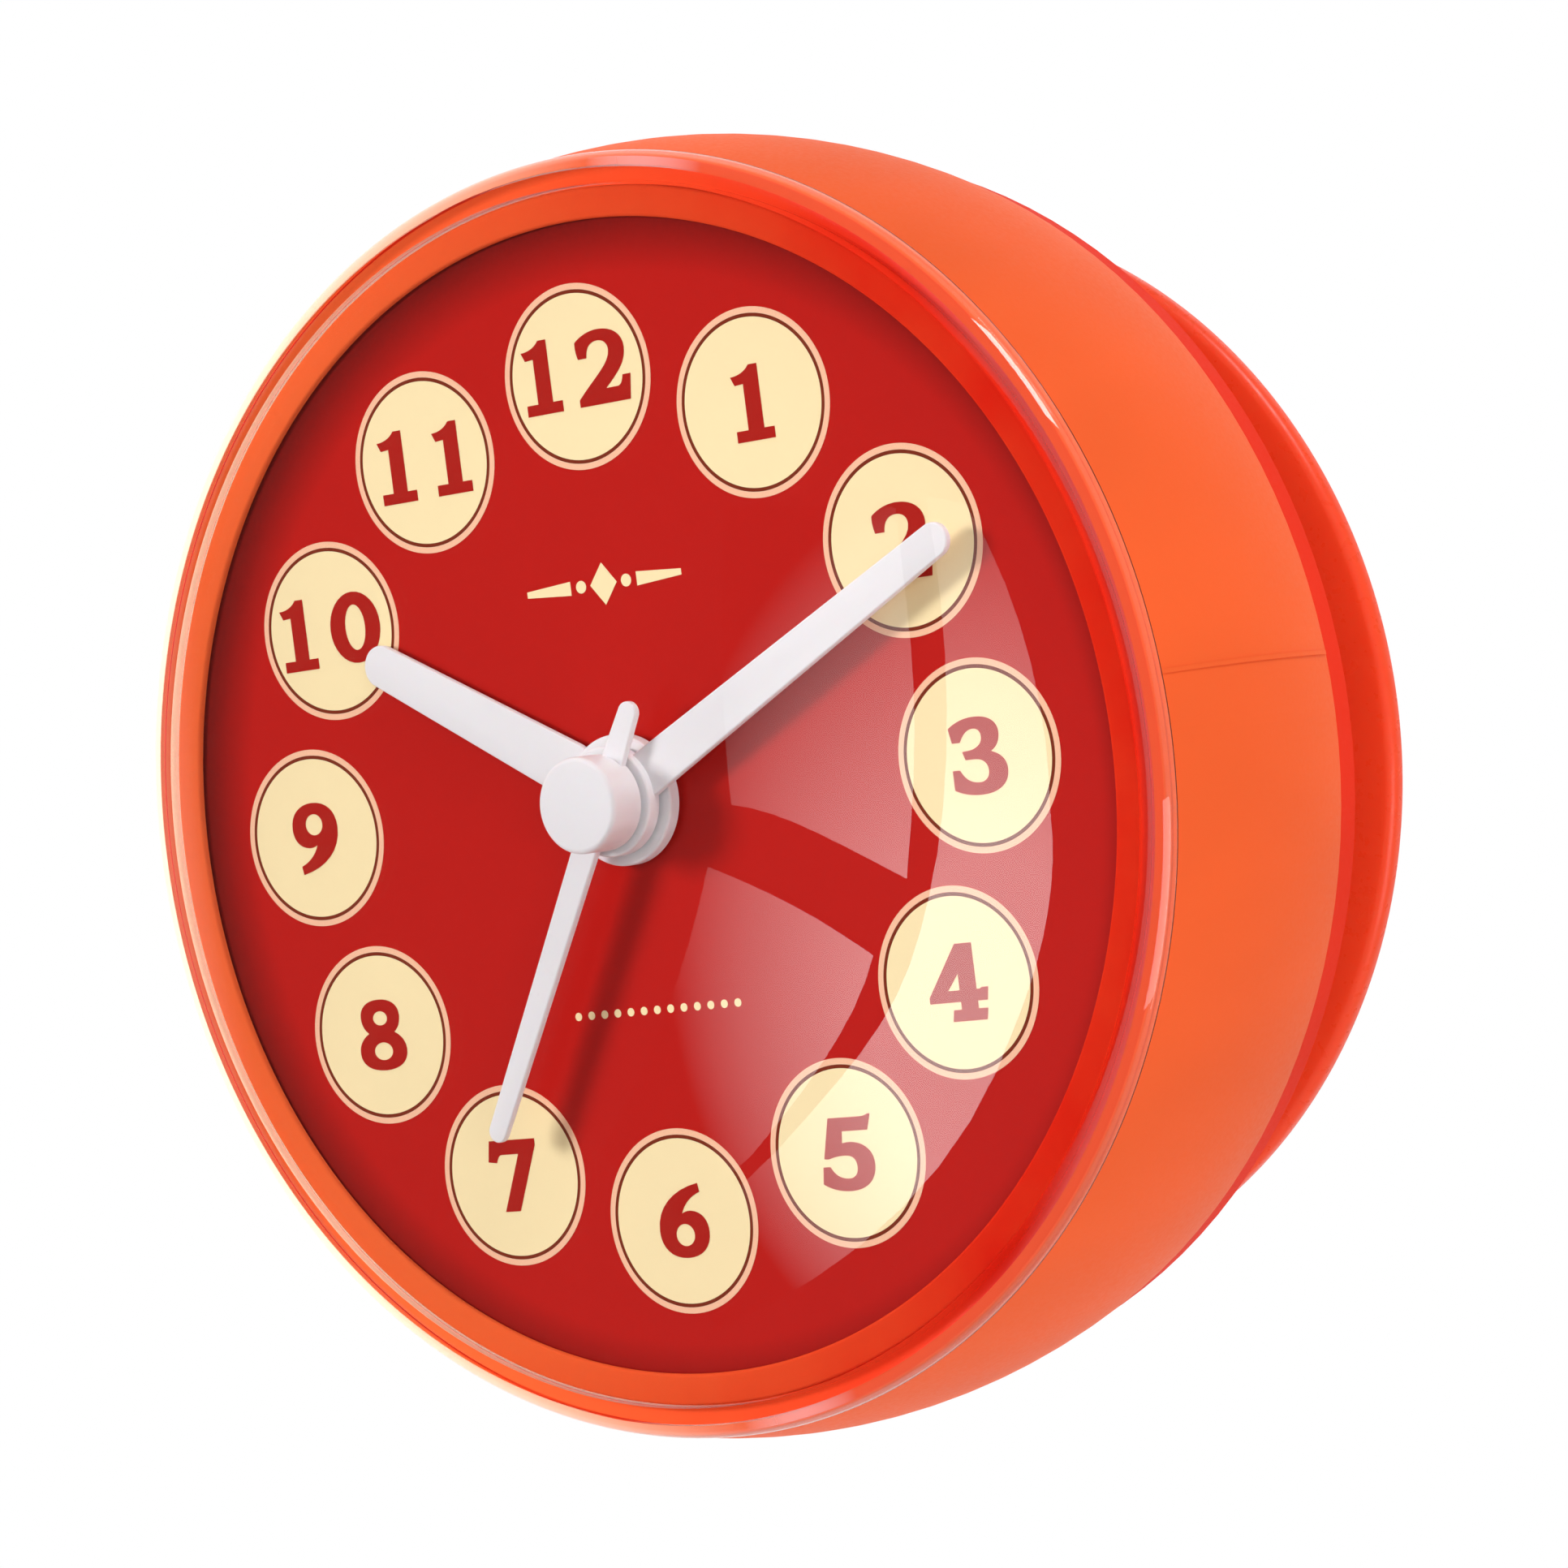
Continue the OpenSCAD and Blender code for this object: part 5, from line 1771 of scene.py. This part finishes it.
@dataclass
class Studio:
    """Camera, world, lamps, floor and the window that shows in the lens.

    Attributes:
        azimuth: The camera's angle to the side, in degrees.
        elevation: Its angle upwards, in degrees.
        roll: Its roll, in degrees.
        distance: Its distance from the place it looks at, in millimetres.
        target: That place, in millimetres.
        sensor: Width of its sensor, in millimetres.
        lens: Its focal length, in millimetres.
        sight: The nearest and the farthest that it sees, in metres.
        ambient: Light that comes from all sides.
        dark_way: The way to the dark part of the room, which the front of the lens mirrors.
        dark_from: How far a ray points that way where the room turns dark, and where it is dark.
        dark_gloss: How bright the dark part is.
        dark_bounces: Bounces past which a ray, caught in the lens, no longer finds it dark.
        matt_bounces: Matt bounces past which a ray finds the even light alone.
        side_gloss: How bright the rest of the room is in reflections.
        side_clear: How bright it is through clear plastic.
        white_way: The way to the white part of the background, for glossy rays.
        white_from: How far a ray points that way where it turns white, and where it is white.
        floor_depth: Height of the floor, in metres.
        floor_radius: Radius of the floor, in metres.
        window_at: Distance of the window in front of the wall, in millimetres.
        window_thick: Thickness of its panes, in millimetres.
        window_panes: Outlines of its panes, in millimetres.
        lamps: The lamps.
    """

    azimuth: float = 36.93
    elevation: float = 0.19
    roll: float = -7.2
    distance: float = 334.4
    target: Triple = (13.2, -37.0, -0.29)
    sensor: float = 36.0
    lens: float = 110.8
    sight: Point = (0.01, 20.0)
    ambient: float = 0.33
    dark_way: Triple = (-0.6, -0.8, 0.0)
    dark_from: Point = (0.6, 0.76)
    dark_gloss: float = 0.02
    dark_bounces: float = 5.5
    matt_bounces: float = 0.5
    side_gloss: float = 0.5
    side_clear: float = 0.85
    white_way: Triple = (-0.5, 0.866, 0.0)
    white_from: Point = (0.27, 0.45)
    floor_depth: float = -0.2
    floor_radius: float = 0.4
    window_at: float = 646.0
    window_thick: float = 1.0
    window_panes: tuple[str, ...] = (
        "M -268 -15 L -264 102 L -262 213 L -98 190 C -83 78 -81 26 -116 -84 "
        "C -158 -59 -215 -23 -268 -15",
        "M -304 -60 C -239 -84 -202 -105 -160 -139 C -189 -191 -267 -249 -352 -304 "
        "L -483 -373 L -569 -312 C -421 -214 -346 -133 -304 -60",
        "M -72 196 C -48 84 -60 -20 -100 -99 C -139 -176 -173 -206 -321 -300 L -468 -384 "
        "L -532 -512 C -248 -400 -126 -316 -48 -197 C -12 -146 8 -94 9 -48 "
        "C 19 17 12 101 -38 186",
    )
    lamps: tuple[Lamp, ...] = (
        Lamp("key_lamp", -39.6, 15.0, 6.0, size=0.22, distance=0.9),
        Lamp("front_lamp", 48.0, 8.0, 1.8),
        Lamp("top_lamp", 75.0, 53.0, 4.2, size=0.3, mirrored=True),
        Lamp("side_lamp", 78.0, -23.0, 3.2, mirrored=True),
        Lamp("low_lamp", -80.0, -25.0, 4.0),
        Lamp("back_lamp", 180.0, 35.0, 4.0),
    )

    def camera(self) -> Piece:
        """Builds the camera at the photograph's place.

        Returns:
            The camera.
        """
        back = direction(self.azimuth, self.elevation)
        level = Vector((0.0, 0.0, 1.0)).cross(back).normalized()
        right = Matrix.Rotation(math.radians(-self.roll), 3, -back) @ level
        up = back.cross(right)
        data = bpy.data.cameras.new("photo_camera")
        data.sensor_width, data.lens = self.sensor, self.lens
        data.clip_start, data.clip_end = self.sight
        camera = placed("photo_camera", data)
        rotation = Matrix((right, up, back)).transposed().to_4x4()
        place = (Vector(self.target) + back * self.distance) * MM
        camera.matrix_world = Matrix.Translation(place) @ rotation
        bpy.context.scene.camera = camera
        return camera

    def world(self) -> None:
        """Makes a white background that lights the clock with a plain even light."""
        world = bpy.data.worlds.new("studio_world")
        nodes = Nodes(world, "ShaderNodeOutputWorld")
        path = nodes.add("LightPath").outputs
        way = nodes.add("TexCoord").outputs["Generated"]
        ahead, back = (
            nodes.add("VectorMath", {0: way, 1: end}, operation="DOT_PRODUCT").outputs["Value"]
            for end in (self.dark_way, self.white_way)
        )
        early = nodes.math("LESS_THAN", path["Ray Depth"], self.dark_bounces)
        dark = nodes.math("MULTIPLY", nodes.spread(ahead, 0.0, 1.0, self.dark_from), early)
        behind = nodes.spread(back, 0.0, 1.0, self.white_from)
        direct = nodes.math("LESS_THAN", path["Diffuse Depth"], self.matt_bounces)
        clear = path["Is Transmission Ray"]
        bent = nodes.math("MAXIMUM", path["Is Glossy Ray"], clear)
        glossy = nodes.math("MULTIPLY", bent, direct)
        shining = nodes.math("MULTIPLY", glossy, behind)
        white = nodes.math("MAXIMUM", path["Is Camera Ray"], shining)
        side = nodes.blend(clear, grey(self.side_gloss), grey(self.side_clear))
        room = nodes.blend(dark, side, grey(self.dark_gloss))
        even = nodes.blend(glossy, grey(self.ambient), room)
        colour = nodes.blend(white, even, WHITE)
        nodes.end(nodes.add("Background", {"Color": colour, "Strength": 1.0}).outputs[0])
        bpy.context.scene.world = world

    def floor(self) -> Piece:
        """Builds a round pale floor that fades out towards its edge.

        Returns:
            The floor.
        """
        bm = bmesh.new()
        bmesh.ops.create_circle(
            bm, cap_ends=True, segments=SMALL_STEPS, radius=self.floor_radius
        )
        floor = solid("studio_floor", moved(bm, 0.0, 0.0, self.floor_depth), FLOOR_PALE)
        floor.visible_glossy = floor.visible_transmission = False
        return floor

    def window(self) -> Piece:
        """Builds the bright window that only reflections see.

        Returns:
            The window.
        """
        bm = moved(flat_shape(self.window_panes, self.window_thick), 0.0, 0.0, self.window_at)
        bmesh.ops.transform(bm, matrix=FACING, verts=bm.verts)
        window = solid("studio_window", bm, WINDOW_GLOW)
        window.visible_camera = window.visible_diffuse = window.visible_shadow = False
        window.visible_transmission = False
        return window

    def build(self) -> list[Piece]:
        """Builds the studio round the clock.

        Returns:
            What stands in it.
        """
        self.world()
        bpy.context.scene.view_settings.view_transform = "Standard"
        return [self.camera(), self.floor(), self.window(), *(lamp.build() for lamp in self.lamps)]


def main() -> None:
    """Builds the studio and the clock's pieces in order, and reports the studio's things and the
    dressed CAD nodes.
    """
    logging.basicConfig(level=logging.INFO, format="%(name)s: %(message)s")
    for thing in Studio().build():
        LOG.info("studio: %s", thing.name)
    for name in dress_nodes():
        LOG.info("CAD node dressed: %s", name)
    pieces = [*Case().build(), *DialPrint().build(), *(hand.build() for hand in HANDS)]
    pieces += [SuctionCup().build(), CoverSeal().build()]


if __name__ == "__main__":
    main()
